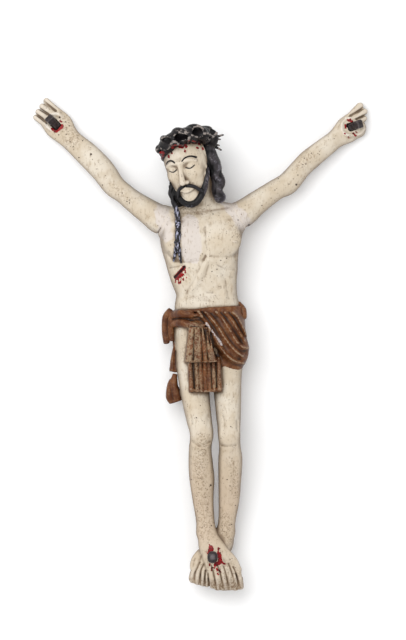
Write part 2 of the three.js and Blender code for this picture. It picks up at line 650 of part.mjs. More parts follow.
function addLoincloth(clay) {
  const hem = (x) => (x < 0.4 ? 1.7 : WRAP_HEM);
  const behind = (x, y, z) => Math.max(y - WAIST - WAIST_SLOPE * x, (z < 2.4 ? WRAP_HEM : hem(x)) - y);
  clay.drape([-4, WRAP_HEM - 1, 0], [6, WAIST + 1, FAR], WRAP_THICKNESS, behind);
  for (const rows of RIGHT_ROLLS) clay.add(limb(withHalf(rows, ROLL_HALF)), 0.08);
  for (const rows of RIGHT_BUNCH) clay.add(limb(withHalf(rows, BUNCH_HALF), { cap: 0.5 }), 0.1);
  for (const rows of RIGHT_TAILS) clay.add(limb(rows, { power: 3, cap: 0.3 }), 0.08);
  TIERS.slice().reverse().forEach((tier) => addTier(clay, tier));
  for (const [centre, radii] of SWAG) clay.add(ball(centre, radii), SWAG_BLEND);
  for (const crest of SWAG_FOLDS) {
    const hollow = crest.map(([x, y]) => [x + FOLD_HOLLOW[0], y + FOLD_HOLLOW[1]]);
    clay.stroke(crest, FOLD_WIDTH, -FOLD_HEIGHT, FOLD_BEHIND, FOLD_FADE);
    clay.stroke(hollow, FOLD_WIDTH, FOLD_HEIGHT, FOLD_BEHIND, FOLD_FADE);
  }
  clay.add(limb(HIP_KNOT), 0.1);
}

// The grid's surface as triangles: each cell is cut into six tetrahedra that share its long diagonal.
// Corners are numbered in bits that step in x, y and z, and the diagonal runs along the swag's folds.

const DIAGONAL = [1, 6];
const CORNER_PATHS = [[0, 2], [0, 4], [3, 2], [3, 7], [5, 4], [5, 7]];

function surface(clay) {
  const [nx, ny, nz] = clay.count;
  const { values, low, cell } = clay;
  const offset = (bits) => (bits & 1) + ((bits >> 1) & 1) * nx + (bits >> 2) * nx * ny;
  const positions = [];
  const triangles = [];
  const known = new Map();
  const place = (node) => [node % nx, Math.floor(node / nx) % ny, Math.floor(node / (nx * ny))];

  function crossing(inside, outside) {
    const key = Math.min(inside, outside) * values.length + Math.max(inside, outside);
    if (!known.has(key)) {
      const zero = values[inside] / (values[inside] - values[outside]);
      const share = Math.min(Math.max(zero, 0.05), 0.95);
      const [from, to] = [place(inside), place(outside)];
      known.set(key, positions.length / 3);
      for (let k = 0; k < 3; k++) positions.push((low[k] + cell * (from[k] + share * (to[k] - from[k]))) * SQUARE);
    }
    return known.get(key);
  }

  function triangle(a, b, c, from, to) {
    const point = (index) => new THREE.Vector3().fromArray(positions, index * 3);
    const [pa, pb, pc] = [point(a), point(b), point(c)];
    const normal = pb.sub(pa).cross(pc.sub(pa));
    const outward = new THREE.Vector3(...place(to)).sub(new THREE.Vector3(...place(from)));
    triangles.push(...(normal.dot(outward) >= 0 ? [a, b, c] : [a, c, b]));
  }

  for (let k = 0; k < nz - 1; k++) {
    for (let j = 0; j < ny - 1; j++) {
      for (let i = 0; i < nx - 1; i++) {
        const base = i + nx * (j + ny * k);
        let below = 0;
        for (let bits = 0; bits < 8; bits++) below += values[base + offset(bits)] < 0 ? 1 : 0;
        if (below === 0 || below === 8) continue;
        for (const [second, third] of CORNER_PATHS) {
          const corners = [DIAGONAL[0], second, third, DIAGONAL[1]].map((bits) => base + offset(bits));
          const inside = corners.filter((node) => values[node] < 0);
          const outside = corners.filter((node) => values[node] >= 0);
          if (inside.length === 1) {
            triangle(...outside.map((node) => crossing(inside[0], node)), inside[0], outside[0]);
          } else if (inside.length === 3) {
            triangle(...inside.map((node) => crossing(node, outside[0])), inside[0], outside[0]);
          } else if (inside.length === 2) {
            const [a, b] = outside.map((node) => crossing(inside[0], node));
            const [c, d] = outside.map((node) => crossing(inside[1], node));
            triangle(a, b, c, inside[0], outside[0]);
            triangle(b, d, c, inside[0], outside[0]);
          }
        }
      }
    }
  }
  return { positions, triangles };
}

// Fewer faces: edges are collapsed in the order of the least change, by quadrics of the faces' planes

class Heap {
  items = [];

  push(item) {
    let at = this.items.push(item) - 1;
    while (at > 0) {
      const parent = (at - 1) >> 1;
      if (this.items[parent].cost <= item.cost) break;
      this.items[at] = this.items[parent];
      at = parent;
    }
    this.items[at] = item;
  }

  pop() {
    const top = this.items[0];
    const last = this.items.pop();
    const size = this.items.length;
    let at = 0;
    while (size > 0) {
      let child = 2 * at + 1;
      if (child >= size) break;
      if (child + 1 < size && this.items[child + 1].cost < this.items[child].cost) child++;
      if (this.items[child].cost >= last.cost) break;
      this.items[at] = this.items[child];
      at = child;
    }
    if (size > 0) this.items[at] = last;
    return top;
  }
}

// Quadrics hold xx, xy, xz, xw, yy, yz, yw, zz, zw, ww
function planeQuadric([nx, ny, nz], w, weight) {
  return [nx * nx, nx * ny, nx * nz, nx * w, ny * ny, ny * nz, ny * w, nz * nz, nz * w, w * w]
    .map((value) => value * weight);
}

function quadricError(q, [x, y, z]) {
  return x * (q[0] * x + 2 * (q[1] * y + q[2] * z + q[3])) + y * (q[4] * y + 2 * (q[5] * z + q[6]))
    + z * (q[7] * z + 2 * q[8]) + q[9];
}

// The point with the least error, or null where the faces are too flat to give one
function quadricRest([xx, xy, xz, xw, yy, yz, yw, zz, zw]) {
  const [a, b, c] = [yy * zz - yz * yz, xz * yz - xy * zz, xy * yz - xz * yy];
  const size = xx * a + xy * b + xz * c;
  if (Math.abs(size) < FLAT_LIMIT * (xx + yy + zz) ** 3) return null;
  const [d, e, f] = [xx * zz - xz * xz, xy * xz - xx * yz, xx * yy - xy * xy];
  return [
    -(a * xw + b * yw + c * zw) / size,
    -(b * xw + d * yw + e * zw) / size,
    -(c * xw + e * yw + f * zw) / size,
  ];
}

function crossOf(a, b, c) {
  const [ux, uy, uz] = [b[0] - a[0], b[1] - a[1], b[2] - a[2]];
  const [vx, vy, vz] = [c[0] - a[0], c[1] - a[1], c[2] - a[2]];
  return [uy * vz - uz * vy, uz * vx - ux * vz, ux * vy - uy * vx];
}

const dot = (a, b) => a[0] * b[0] + a[1] * b[1] + a[2] * b[2];
const gapOf = (a, b) => Math.hypot(a[0] - b[0], a[1] - b[1], a[2] - b[2]);
const middleOf = (a, b) => [(a[0] + b[0]) / 2, (a[1] + b[1]) / 2, (a[2] + b[2]) / 2];

function threes(list) {
  const rows = [];
  for (let at = 0; at < list.length; at += 3) rows.push([list[at], list[at + 1], list[at + 2]]);
  return rows;
}

// A closed mesh whose edges can be collapsed while it stays closed
class Skin {
  constructor({ positions, triangles }) {
    this.points = threes(positions);
    this.around = this.points.map(() => []);
    const faces = threes(triangles);
    for (const face of faces) for (const vertex of face) this.around[vertex].push(face);
    this.count = faces.length;
  }

  neighbours(vertex) {
    const found = [];
    for (const face of this.around[vertex]) {
      for (const other of face) if (other !== vertex && !found.includes(other)) found.push(other);
    }
    return found;
  }

  turnsOver(vertex, other, point) {
    return this.around[vertex].some((face) => {
      if (face.includes(other)) return false;
      const old = crossOf(...face.map((corner) => this.points[corner]));
      const fresh = crossOf(...face.map((corner) => (corner === vertex ? point : this.points[corner])));
      return dot(old, fresh) <= TURN_LIMIT * Math.hypot(...old) * Math.hypot(...fresh);
    });
  }

  // Joins b to a at the point, and says whether that was possible
  collapse(a, b, point) {
    const beside = this.neighbours(a);
    if (this.neighbours(b).filter((vertex) => beside.includes(vertex)).length !== 2) return false;
    if (this.turnsOver(a, b, point) || this.turnsOver(b, a, point)) return false;
    for (const face of this.around[b]) {
      if (face.includes(a)) {
        for (const vertex of face) {
          if (vertex !== b) this.around[vertex] = this.around[vertex].filter((other) => other !== face);
        }
        this.count--;
      } else {
        face[face.indexOf(b)] = a;
        this.around[a].push(face);
      }
    }
    this.around[b] = [];
    this.points[a] = point;
    return true;
  }

  mesh() {
    const faces = [...new Set(this.around.flat())];
    const used = new Map();
    for (const vertex of faces.flat()) if (!used.has(vertex)) used.set(vertex, used.size);
    return {
      positions: [...used.keys()].flatMap((vertex) => this.points[vertex]),
      triangles: faces.flat().map((vertex) => used.get(vertex)),
    };
  }
}

// The planes that meet at each point of the skin, as quadrics weighted by area
function quadricsOf(skin) {
  const quadrics = skin.points.map(() => new Array(10).fill(0));
  for (const face of new Set(skin.around.flat())) {
    const cross = crossOf(...face.map((vertex) => skin.points[vertex]));
    const area = Math.hypot(...cross) + 1e-9;
    const normal = cross.map((value) => value / area);
    const quadric = planeQuadric(normal, -dot(normal, skin.points[face[0]]), area);
    for (const vertex of face) quadric.forEach((value, k) => { quadrics[vertex][k] += value; });
  }
  return quadrics;
}

function simplify(mesh, target) {
  const skin = new Skin(mesh);
  const quadrics = quadricsOf(skin);

  function joining(a, b) {
    const quadric = quadrics[a].map((value, k) => value + quadrics[b][k]);
    const middle = middleOf(skin.points[a], skin.points[b]);
    const length = gapOf(skin.points[a], skin.points[b]);
    const rest = quadricRest(quadric);
    return { quadric, length, point: rest && gapOf(rest, middle) < length ? rest : middle };
  }

  // Short edges go first, wherever they lie
  skin.points.forEach((_, vertex) => {
    for (const other of skin.neighbours(vertex)) {
      if (gapOf(skin.points[vertex], skin.points[other]) >= SHORT_EDGE) continue;
      const { quadric, point } = joining(vertex, other);
      if (!skin.collapse(vertex, other, point)) continue;
      quadrics[vertex] = quadric;
      break;
    }
  });

  const stamps = new Int32Array(skin.points.length);
  const heap = new Heap();
  function offer(a, b) {
    const { quadric, length, point } = joining(a, b);
    const cost = Math.max(quadricError(quadric, point), 0) + EVENNESS * length ** 4;
    heap.push({ cost, a, b, point, quadric, stampA: stamps[a], stampB: stamps[b] });
  }
  skin.points.forEach((_, vertex) => {
    for (const other of skin.neighbours(vertex)) if (other > vertex) offer(vertex, other);
  });
  while (skin.count > target && heap.items.length > 0) {
    const { a, b, point, quadric, stampA, stampB } = heap.pop();
    if (stamps[a] !== stampA || stamps[b] !== stampB || !skin.collapse(a, b, point)) continue;
    quadrics[a] = quadric;
    stamps[a]++;
    stamps[b]++;
    for (const other of skin.neighbours(a)) offer(a, other);
  }
  return skin.mesh();
}

// Nails, each along +Z from its point, with room round them where they cut their own holes

function handNail(room) {
  const half = HAND_NAIL_WIDTH / 2 + room - HAND_NAIL_BEVEL;
  const section = new THREE.Shape([[-half, -half], [half, -half], [half, half], [-half, half]]
    .map(([x, y]) => new THREE.Vector2(x, y)));
  const bar = new THREE.ExtrudeGeometry(section, {
    depth: HAND_NAIL_LENGTH + 2 * room - 2 * HAND_NAIL_BEVEL,
    bevelThickness: HAND_NAIL_BEVEL,
    bevelSize: HAND_NAIL_BEVEL,
    bevelSegments: 2,
  });
  return bar.translate(0, 0, HAND_NAIL_BEVEL - room);
}

function footNail(room) {
  const shank = FOOT_NAIL_SHANK / 2 + room;
  const rim = FOOT_NAIL_HEAD / 2 + room;
  const profile = [[0, -room], [shank, -room], [shank, FOOT_NAIL_LENGTH - room], [rim, FOOT_NAIL_LENGTH - room]];
  for (let step = 0; step < FOOT_NAIL_ARC; step++) {
    const turn = Math.PI / 2 * step / FOOT_NAIL_ARC;
    const height = FOOT_NAIL_RIM + (FOOT_NAIL_DOME - FOOT_NAIL_RIM + room) * Math.sin(turn);
    profile.push([rim * Math.cos(turn), FOOT_NAIL_LENGTH + height]);
  }
  profile.push([0, FOOT_NAIL_LENGTH + FOOT_NAIL_DOME + room]);
  const points = profile.map(([radius, height]) => new THREE.Vector2(radius, height));
  return new THREE.LatheGeometry(points, FOOT_NAIL_SIDES).rotateX(Math.PI / 2).scale(1, FOOT_NAIL_OVAL, 1);
}

// Solids for joining and cutting

const wasm = await Module();
wasm.setup();

function solid(positions, triangles) {
  return new wasm.Manifold(new wasm.Mesh({
    numProp: 3,
    vertProperties: Float32Array.from(positions),
    triVerts: Uint32Array.from(triangles),
  }));
}

function solidOf(geometry, matrix = new THREE.Matrix4()) {
  const bare = geometry.clone().applyMatrix4(matrix);
  bare.deleteAttribute('normal');
  bare.deleteAttribute('uv');
  const merged = mergeVertices(bare, 1e-4);
  return solid(merged.attributes.position.array, merged.index.array);
}

function geometryOf(body) {
  const { vertProperties, triVerts } = body.getMesh();
  const geometry = new THREE.BufferGeometry();
  geometry.setAttribute('position', new THREE.BufferAttribute(vertProperties, 3));
  geometry.setIndex(new THREE.BufferAttribute(triVerts, 1));
  geometry.computeVertexNormals();
  return geometry;
}

// A standing block over an outline in squares
function block(outline, bottom, top) {
  const shape = new THREE.Shape(outline.map(([x, y]) => new THREE.Vector2(x * SQUARE, y * SQUARE)));
  return new THREE.ExtrudeGeometry(shape, { depth: top - bottom, bevelEnabled: false }).translate(0, 0, bottom);
}

function thorn([x, y, z], [tipX, tipY, tipZ]) {
  const from = new THREE.Vector3(x, y, z).multiplyScalar(SQUARE);
  const along = new THREE.Vector3(tipX, tipY, tipZ).multiplyScalar(SQUARE).sub(from);
  const cone = new THREE.CylinderGeometry(THORN * THORN_TIP / 2, THORN / 2, along.length(), THORN_SIDES)
    .translate(0, along.length() / 2, 0);
  const turn = new THREE.Quaternion().setFromUnitVectors(new THREE.Vector3(0, 1, 0), along.clone().normalize());
  return cone.applyQuaternion(turn).translate(...from.toArray());
}

// The wood: everything carved, then parted at the shoulders

const GRID_LOW = [-17.5, -25.2, -0.6];
const GRID_HIGH = [17.5, 25.2, 9.6];

function carveFigure() {
  const clay = new Clay(GRID_LOW, GRID_HIGH, CELL / SQUARE);
  addTrunkAndLegs(clay);
  addArms(clay);
  modelChest(clay);
  addLoincloth(clay);
  addHead(clay);
  addHair(clay);
  addCrown(clay);
  clay.settle();
  const { positions, triangles } = simplify(surface(clay), FACES);
  return solid(positions, triangles);
}

// Outlines of the arms, whose first edge is the shoulder seam
const RIGHT_SEAM = [[-4.4, 10.45], [-2.95, 13.5], [-3.12, 13.95], [-3.9, 14.4], [-9, 27], [-19, 27], [-19, 10.45]];
const LEFT_SEAM = [[4.85, 10.9], [2.95, 14.2], [3.6, 15.2], [9, 27], [19, 27], [19, 10.9]];
const THORNS = [
  [[1.0, 20.5, 4.4], [2.25, 20.85, 4.3]],
  [[1.0, 20.5, 4.6], [2.0, 20.35, 4.7]],
  [[0.9, 20.0, 4.4], [2.05, 19.35, 4.3]],
  [[0.9, 20.0, 4.6], [1.95, 19.85, 4.8]],
];

const CEILING = 150; // reach, in millimetres, of the blocks that part and trim the wood
const [WEST, SOUTH] = GRID_LOW;
const [EAST, NORTH] = GRID_HIGH;
const GROUND = block([[WEST, SOUTH], [EAST, SOUTH], [EAST, NORTH], [WEST, NORTH]], -CEILING, 0);

function withSeam(outline, gap) {
  const [bottom, top] = outline;
  const length = Math.hypot(top[0] - bottom[0], top[1] - bottom[1]);
  const side = Math.sign(outline[3][0]);
  const shift = [-(top[1] - bottom[1]) / length, (top[0] - bottom[0]) / length].map((v) => -side * v * gap / SQUARE);
  const moved = outline.slice(0, 2).map(([x, y]) => [x - shift[0], y - shift[1]]);
  return [...moved, ...outline.slice(2)];
}

const carving = THORNS.reduce((wood, [root, tip]) => wood.add(solidOf(thorn(root, tip))), carveFigure())
  .subtract(solidOf(GROUND));

const WOOD = new THREE.MeshStandardMaterial({ name: 'painted_wood', color: 0xd8ccb2, roughness: 0.6 });
const IRON = new THREE.MeshStandardMaterial({ name: 'nail_iron', color: 0x241f20, roughness: 0.5, metalness: 0.7 });

// Nails by the places of their points and heads, in squares
const NAILS = [
  { name: 'right_hand_nail', make: handNail, point: [-13.9, 21.3, 0.75], head: [-15.3, 22.7, 2.05] },
  { name: 'left_hand_nail', make: handNail, point: [14.45, 21.5, 0.65], head: [16.0, 22.0, 2.1] },
  { name: 'feet_nail', make: footNail, point: [1.3, -21.5, 2.3], head: [1.2, -21.35, 4.4] },
];

function nailMesh({ name, make, point, head }) {
  const mesh = new THREE.Mesh(make(0), IRON);
  mesh.name = name;
  mesh.position.set(...point).multiplyScalar(SQUARE);
  const along = new THREE.Vector3(...head).multiplyScalar(SQUARE).sub(mesh.position).normalize();
  const side = new THREE.Vector3(along.y, -along.x, 0).normalize();
  mesh.quaternion.setFromRotationMatrix(new THREE.Matrix4().makeBasis(side, along.clone().cross(side), along));
  mesh.updateMatrix();
  return mesh;
}

const nails = NAILS.map(nailMesh);
const holes = NAILS.map(({ make }, index) => solidOf(make(NAIL_CLEARANCE), nails[index].matrix));
const armBlock = (outline, gap) => solidOf(block(withSeam(outline, gap), -CEILING, CEILING));

const pieces = {
  corpus_body: carving.subtract(armBlock(RIGHT_SEAM, SEAM)).subtract(armBlock(LEFT_SEAM, SEAM)).subtract(holes[2]),
  right_arm: carving.intersect(armBlock(RIGHT_SEAM, 0)).subtract(holes[0]),
  left_arm: carving.intersect(armBlock(LEFT_SEAM, 0)).subtract(holes[1]),
};

const figure = new THREE.Group();
for (const [name, body] of Object.entries(pieces)) {
  const mesh = new THREE.Mesh(geometryOf(body), WOOD);
  mesh.name = name;
  figure.add(mesh);
}
figure.add(...nails);

export default figure;
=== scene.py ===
"""Carved and painted wooden corpus figure with forged nails, lying on a pale floor.

The figure's forms are given in the squares of the carver's drawing, 12.5 mm each.
+X is the figure's left, +Y points to its head and +Z is its front.
"""

import itertools
import json
import math

import bpy
import numpy as np
from mathutils import Matrix, Vector

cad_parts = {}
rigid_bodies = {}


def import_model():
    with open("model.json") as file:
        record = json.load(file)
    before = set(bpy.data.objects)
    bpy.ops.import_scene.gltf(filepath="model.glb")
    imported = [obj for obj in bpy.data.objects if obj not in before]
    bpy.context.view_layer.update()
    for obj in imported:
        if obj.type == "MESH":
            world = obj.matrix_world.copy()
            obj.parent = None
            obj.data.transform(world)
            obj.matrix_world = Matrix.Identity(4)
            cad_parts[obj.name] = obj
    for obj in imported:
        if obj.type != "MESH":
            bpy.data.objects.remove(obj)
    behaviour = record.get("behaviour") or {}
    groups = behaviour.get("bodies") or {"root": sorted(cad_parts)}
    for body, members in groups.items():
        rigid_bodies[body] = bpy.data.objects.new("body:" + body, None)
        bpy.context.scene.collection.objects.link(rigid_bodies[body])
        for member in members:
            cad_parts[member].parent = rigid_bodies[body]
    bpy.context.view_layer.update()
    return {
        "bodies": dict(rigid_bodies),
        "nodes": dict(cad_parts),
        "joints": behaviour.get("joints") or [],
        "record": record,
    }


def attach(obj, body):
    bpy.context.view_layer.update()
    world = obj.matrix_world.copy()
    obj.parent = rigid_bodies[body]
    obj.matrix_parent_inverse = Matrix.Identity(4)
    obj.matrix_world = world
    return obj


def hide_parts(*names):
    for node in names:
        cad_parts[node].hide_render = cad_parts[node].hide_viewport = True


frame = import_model()

FIGURE = 0.616
SQUARES_HIGH = 49.3
SQUARE = FIGURE / SQUARES_HIGH
MM = 0.001 / SQUARE  # a millimetre in squares
FAR = 9.0
WOOD_CELL = 0.95 * MM
NAIL_CELL = 0.45 * MM
BODY_TRIANGLES = 196000
STROKE_REACH = 2.5


# Distances to smooth forms, in squares, negative inside


def smooth_min(first, second, blend):
    overlap = np.maximum(blend - np.abs(first - second), 0) / blend
    return np.minimum(first, second) - overlap * overlap * blend / 4


def threaded(rows, steps=5):
    """Rows of numbers threaded with a Catmull-Rom spline."""
    rows = [np.array(row, float) for row in rows]
    last = len(rows) - 1
    path = []
    for index in range(last):
        before, start, end, after = (rows[min(max(index + k, 0), last)] for k in (-1, 0, 1, 2))
        for step in range(steps):
            t = step / steps
            path.append(start + 0.5 * t * (end - before + t * (
                2 * before - 5 * start + 4 * end - after + t * (3 * (start - end) + after - before))))
    path.append(rows[-1])
    return np.array(path)


def frame_at(place, **turns):
    """A frame at a place, turned by degrees about its own axes in the order given."""
    matrix = Matrix.Translation(place)
    for axis, degrees in turns.items():
        matrix = matrix @ Matrix.Rotation(math.radians(degrees), 4, axis)
    return np.array(matrix)


def oval_distance(parts, radii, power=2):
    total = 0
    slope = 0
    for part, radius in zip(parts, radii):
        share = np.abs(part) / radius
        term = share if power == 2 else share ** (power - 1)
        total = total + term * share
        slope = slope + (term / radius) ** 2
    size = np.maximum(total, 1e-6) ** (1 / power)
    return (size - 1) * size ** (power - 1) / np.sqrt(np.maximum(slope, 1e-9))


class Clay:
    """Forms joined on a grid of distances, with one more grid for each kind of paint."""

    def __init__(self, low, high, cell):
        self.low = np.array(low, float)
        self.cell = cell
        self.count = np.ceil((np.array(high) - self.low) / cell).astype(int) + 1
        self.axes = [(self.low[k] + cell * np.arange(self.count[k])).astype(np.float32) for k in range(3)]
        self.values = np.full(self.count, FAR, np.float32)
        self.kinds = {kind: self.values.copy() for kind in ("skin", "hair", "crown", "cloth")}

    def window(self, low, high):
        """The part of the grid between two corners, or None where they miss it."""
        first = np.maximum(np.floor((np.array(low) - self.low) / self.cell).astype(int), 0)
        last = np.minimum(np.ceil((np.array(high) - self.low) / self.cell).astype(int) + 1, self.count)
        if (first >= last).any():
            return None
        part = tuple(slice(a, b) for a, b in zip(first, last))
        x, y, z = (self.axes[k][part[k]] for k in range(3))
        return part, x[:, None, None], y[None, :, None], z[None, None, :]

    def mix(self, part, distance, blend, kind, carve=False):
        if carve:
            self.values[part] = -smooth_min(-self.values[part], distance, blend)
            return
        for grid in (self.values, self.kinds[kind]):
            grid[part] = smooth_min(grid[part], distance, blend)

    def limb(self, stations, blend=0.1, kind="skin", power=2, cap=1, steps=5, frame=None, carve=False):
        """A form along stations of x, y, z, half width across and half depth."""
        path = threaded(stations, steps) if steps > 1 else np.array(stations, float)
        margin = blend + 2 * self.cell
        links = []
        for start, end in zip(path[:-1], path[1:]):
            along = end[:3] - start[:3]
            length = float(np.linalg.norm(along))
            if length < 1e-6:
                continue
            tangent = along / length
            flat = math.hypot(tangent[0], tangent[1])
            across = np.array([1.0, 0, 0])
            if flat > 0.05:
                across = np.array([tangent[1] / flat, -tangent[0] / flat, 0])
            reach = max(start[3], start[4], end[3], end[4]) * max(1, cap) + margin
            low = np.minimum(start[:3], end[:3]) - reach
            high = np.maximum(start[:3], end[:3]) + reach
            links.append((start, end, length, tangent, across, framed_box(low, high, frame)))
        lows, highs = zip(*(link[-1] for link in links))
        box = self.window(np.min(lows, axis=0), np.max(highs, axis=0))
        if box is None:
            return
        part = box[0]
        nearest = np.full([s.stop - s.start for s in part], np.inf, np.float32)
        distance = np.full(nearest.shape, FAR, np.float32)
        for start, end, length, tangent, across, corners in links:
            inner = self.window(*corners)
            if inner is None:
                continue
            local = tuple(slice(s.start - p.start, s.stop - p.start) for s, p in zip(inner[0], part))
            x, y, z = seen_in(frame, *inner[1:])
            px, py, pz = x - start[0], y - start[1], z - start[2]
            s = np.clip(px * tangent[0] + py * tangent[1] + pz * tangent[2], 0, length)
            gap = (px - s * tangent[0]) ** 2 + (py - s * tangent[1]) ** 2 + (pz - s * tangent[2]) ** 2
            closer = gap < nearest[local]
            share = s / length
            middle = [start[k] + share * (end[k] - start[k]) for k in range(5)]
            px, py, pz = x - middle[0], y - middle[1], z - middle[2]
            axes = (across, np.cross(across, tangent), tangent)
            parts = [px * v[0] + py * v[1] + pz * v[2] for v in axes]
            radii = [middle[3], middle[4], np.minimum(middle[3], middle[4]) * cap]
            found = oval_distance(parts, radii, power)
            distance[local] = np.where(closer, found, distance[local])
            nearest[local] = np.where(closer, gap, nearest[local])
        self.mix(part, distance, blend, kind, carve)

    def cord(self, points, half, blend, kind="skin", **shape):
        """A limb as thick as it is wide."""
        self.limb([[*point, half, half] for point in points], blend, kind, **shape)

    def ball(self, centre, radii, blend=0.1, kind="skin", power=2, frame=None, carve=False):
        centre = np.array(centre, float)
        reach = np.array(radii) + blend + 2 * self.cell
        box = self.window(*framed_box(centre - reach, centre + reach, frame))
        if box is None:
            return
        x, y, z = seen_in(frame, *box[1:])
        distance = oval_distance([x - centre[0], y - centre[1], z - centre[2]], radii, power)
        self.mix(box[0], distance, blend, kind, carve)

    def stroke(self, points, width, depth, behind, fade):
        """A gouge line in the front, or a raised line where the depth is negative."""
        line = threaded(points, 4)
        reach = STROKE_REACH * width
        box = self.window([*(line.min(axis=0) - reach), behind], [*(line.max(axis=0) + reach), FAR])
        if box is None:
            return
        part, x, y, z = box
        gap = line_distance(line, x, y) / width
        self.values[part] += depth * np.clip((z - behind) / fade, 0, 1) * np.exp(-gap * gap)

    def strokes(self, lines, behind, fade=0.5):
        """Lines as a path, a width and a depth, in what lies in front of a height."""
        for points, width, depth in lines:
            self.stroke(points, width, depth, behind, fade)

    def drape(self, low, high, thickness, edge):
        """A layer of cloth laid over what is there, inside the region where edge is negative."""
        box = self.window(low, high)
        if box is None:
            return
        part, x, y, z = box
        layer = np.maximum(self.values[part] - thickness, edge(x, y, z))
        self.mix(part, layer, 0.05, "cloth")

    def front(self, x, y):
        """Height of the front surface above a place."""
        i = round((x - self.low[0]) / self.cell)
        j = round((y - self.low[1]) / self.cell)
        if not (0 <= i < self.count[0] and 0 <= j < self.count[1]):
            return -FAR
        filled = np.nonzero(self.values[i, j] < 0)[0]
        return self.axes[2][filled[-1]] if len(filled) else -FAR


def framed_box(low, high, frame):
    """Corners of the box around a box that a frame has turned."""
    if frame is None:
        return low, high
    moved = np.array([[*place, 1] for place in itertools.product(*zip(low, high))]) @ frame.T
    return moved[:, :3].min(axis=0), moved[:, :3].max(axis=0)


def seen_in(frame, x, y, z):
    """Coordinates as they are in a frame."""
    if frame is None:
        return x, y, z
    back = np.linalg.inv(frame)
    return [back[k, 0] * x + back[k, 1] * y + back[k, 2] * z + back[k, 3] for k in range(3)]


def line_distance(line, x, y):
    nearest = np.inf
    for (ax, ay), (bx, by) in zip(line[:-1, :2], line[1:, :2]):
        dx, dy = bx - ax, by - ay
        t = np.clip(((x - ax) * dx + (y - ay) * dy) / max(dx * dx + dy * dy, 1e-9), 0, 1)
        nearest = np.minimum(nearest, np.hypot(x - ax - t * dx, y - ay - t * dy))
    return nearest


# Trunk, legs and feet, as x, y, z, half width, half depth

TRUNK = [
    [0, 13.3, 2.6, 3, 1.8], [0.1, 12.1, 2.55, 4.1, 2.5], [0, 10.35, 2.55, 4.05, 2.8],
    [0.13, 8.55, 2.6, 3.68, 2.75], [0.35, 6.85, 2.6, 3.4, 2.45], [0.6, 5.15, 2.6, 3.05, 2.2],
    [0.65, 3.75, 2.55, 3.25, 2.25], [0.8, 1.85, 2.4, 3.45, 2.65], [0.87, -0.2, 2.4, 3.4, 2.65],
    [0.88, -1.3, 2.6, 3.1, 2.1],
]

RIGHT_LEG = [
    [-0.75, 0.8, 2.8, 1.7, 1.9], [-0.8, -1.65, 2.9, 1.65, 1.8], [-0.66, -3.65, 3.15, 1.54, 1.65],
    [-0.45, -5.65, 3.55, 1.4, 1.55], [-0.13, -7.65, 4.1, 1.27, 1.45], [0.12, -9.05, 4.25, 1.13, 1.35],
    [-0.03, -10.45, 4, 1.13, 1.35], [0.03, -12.15, 3.5, 1.23, 1.45], [0.15, -13.65, 3.15, 1.25, 1.4],
    [0.25, -15.65, 2.85, 1.05, 1.15], [0.47, -17.65, 2.75, 0.93, 1], [0.55, -18.85, 2.8, 1, 1.05],
]

LEFT_LEG = [
    [2.45, 0.8, 2.8, 1.7, 1.9], [2.6, -1.65, 2.85, 1.6, 1.8], [2.65, -3.65, 3.05, 1.45, 1.65],
    [2.73, -5.65, 3.4, 1.33, 1.5], [2.81, -7.65, 3.9, 1.21, 1.4], [2.85, -9.05, 4.05, 1.08, 1.3],
    [2.94, -10.45, 3.8, 1.09, 1.3], [2.98, -11.65, 3.4, 1.21, 1.4], [2.92, -13.65, 3, 1.14, 1.3],
    [2.85, -15.65, 2.6, 1.05, 1.1], [2.65, -17.65, 2.3, 0.87, 0.95], [2.51, -18.85, 2.1, 0.91, 0.95],
]

RIGHT_FOOT = [
    [0.5, -18.2, 2.75, 0.7, 0.75], [0.95, -20, 3.15, 1.2, 0.95], [1.6, -21.3, 3.4, 1.45, 0.85],
    [2.15, -22.3, 3.4, 1.7, 0.65], [2.4, -23, 3.3, 1.75, 0.5],
]

LEFT_FOOT = [
    [2.51, -18.85, 2.1, 0.9, 0.95], [2.4, -20.1, 1.9, 0.85, 1.1], [1.4, -21, 2.2, 1.3, 1],
    [0.35, -21.9, 2.6, 1.3, 0.8], [0.05, -22.6, 2.75, 1.15, 0.5],
]

# Toe tips from the figure's right to its left, as x, y, z and half width
TOES = [
    [-0.85, -23.7, 2.45, 0.27], [-0.33, -23.85, 2.55, 0.31], [0.2, -24, 2.65, 0.3],
    [0.65, -24.15, 2.75, 0.26], [1.09, -24.25, 2.95, 0.27], [1.68, -24.35, 3.15, 0.38],
    [2.35, -24.4, 3.15, 0.36], [2.9, -24.4, 3.1, 0.33], [3.5, -24.4, 3, 0.34], [4.05, -24.35, 2.9, 0.28],
]
# Uncut wood below the grooves between the toes
TOE_WEBS = [
    [[-0.75, -23.2, 2.35, 0.55, 0.35], [1, -23.65, 2.7, 0.55, 0.35]],
    [[1.6, -23.8, 3, 0.55, 0.4], [3.85, -23.8, 2.8, 0.55, 0.4]],
]
TOE_FAN = (1.5, -10)
TOE_LENGTH = 1.7
TOE_RISE = 0.35

# Round forms by middle, radii and blend
KNEES = [([0.1, -9.1, 4.9], [0.8, 1, 0.6], 0.9), ([2.87, -9.1, 4.7], [0.75, 0.95, 0.55], 0.9)]
HEEL = [([2.45, -20, 1], [0.75, 1.1, 1.1], 0.5), ([0.8, -19.4, 1.6], [0.85, 1.1, 1.4], 0.5)]
CHEST = [([-1.7, 10.4, 4.35], [1.9, 1.6, 1], 0.8), ([2.35, 10.4, 4.35], [1.7, 1.6, 1], 0.8)]
LEFT_PALM = ([15.85, 21.55, 0.7], [0.75, 0.9, 0.6], 0.3)


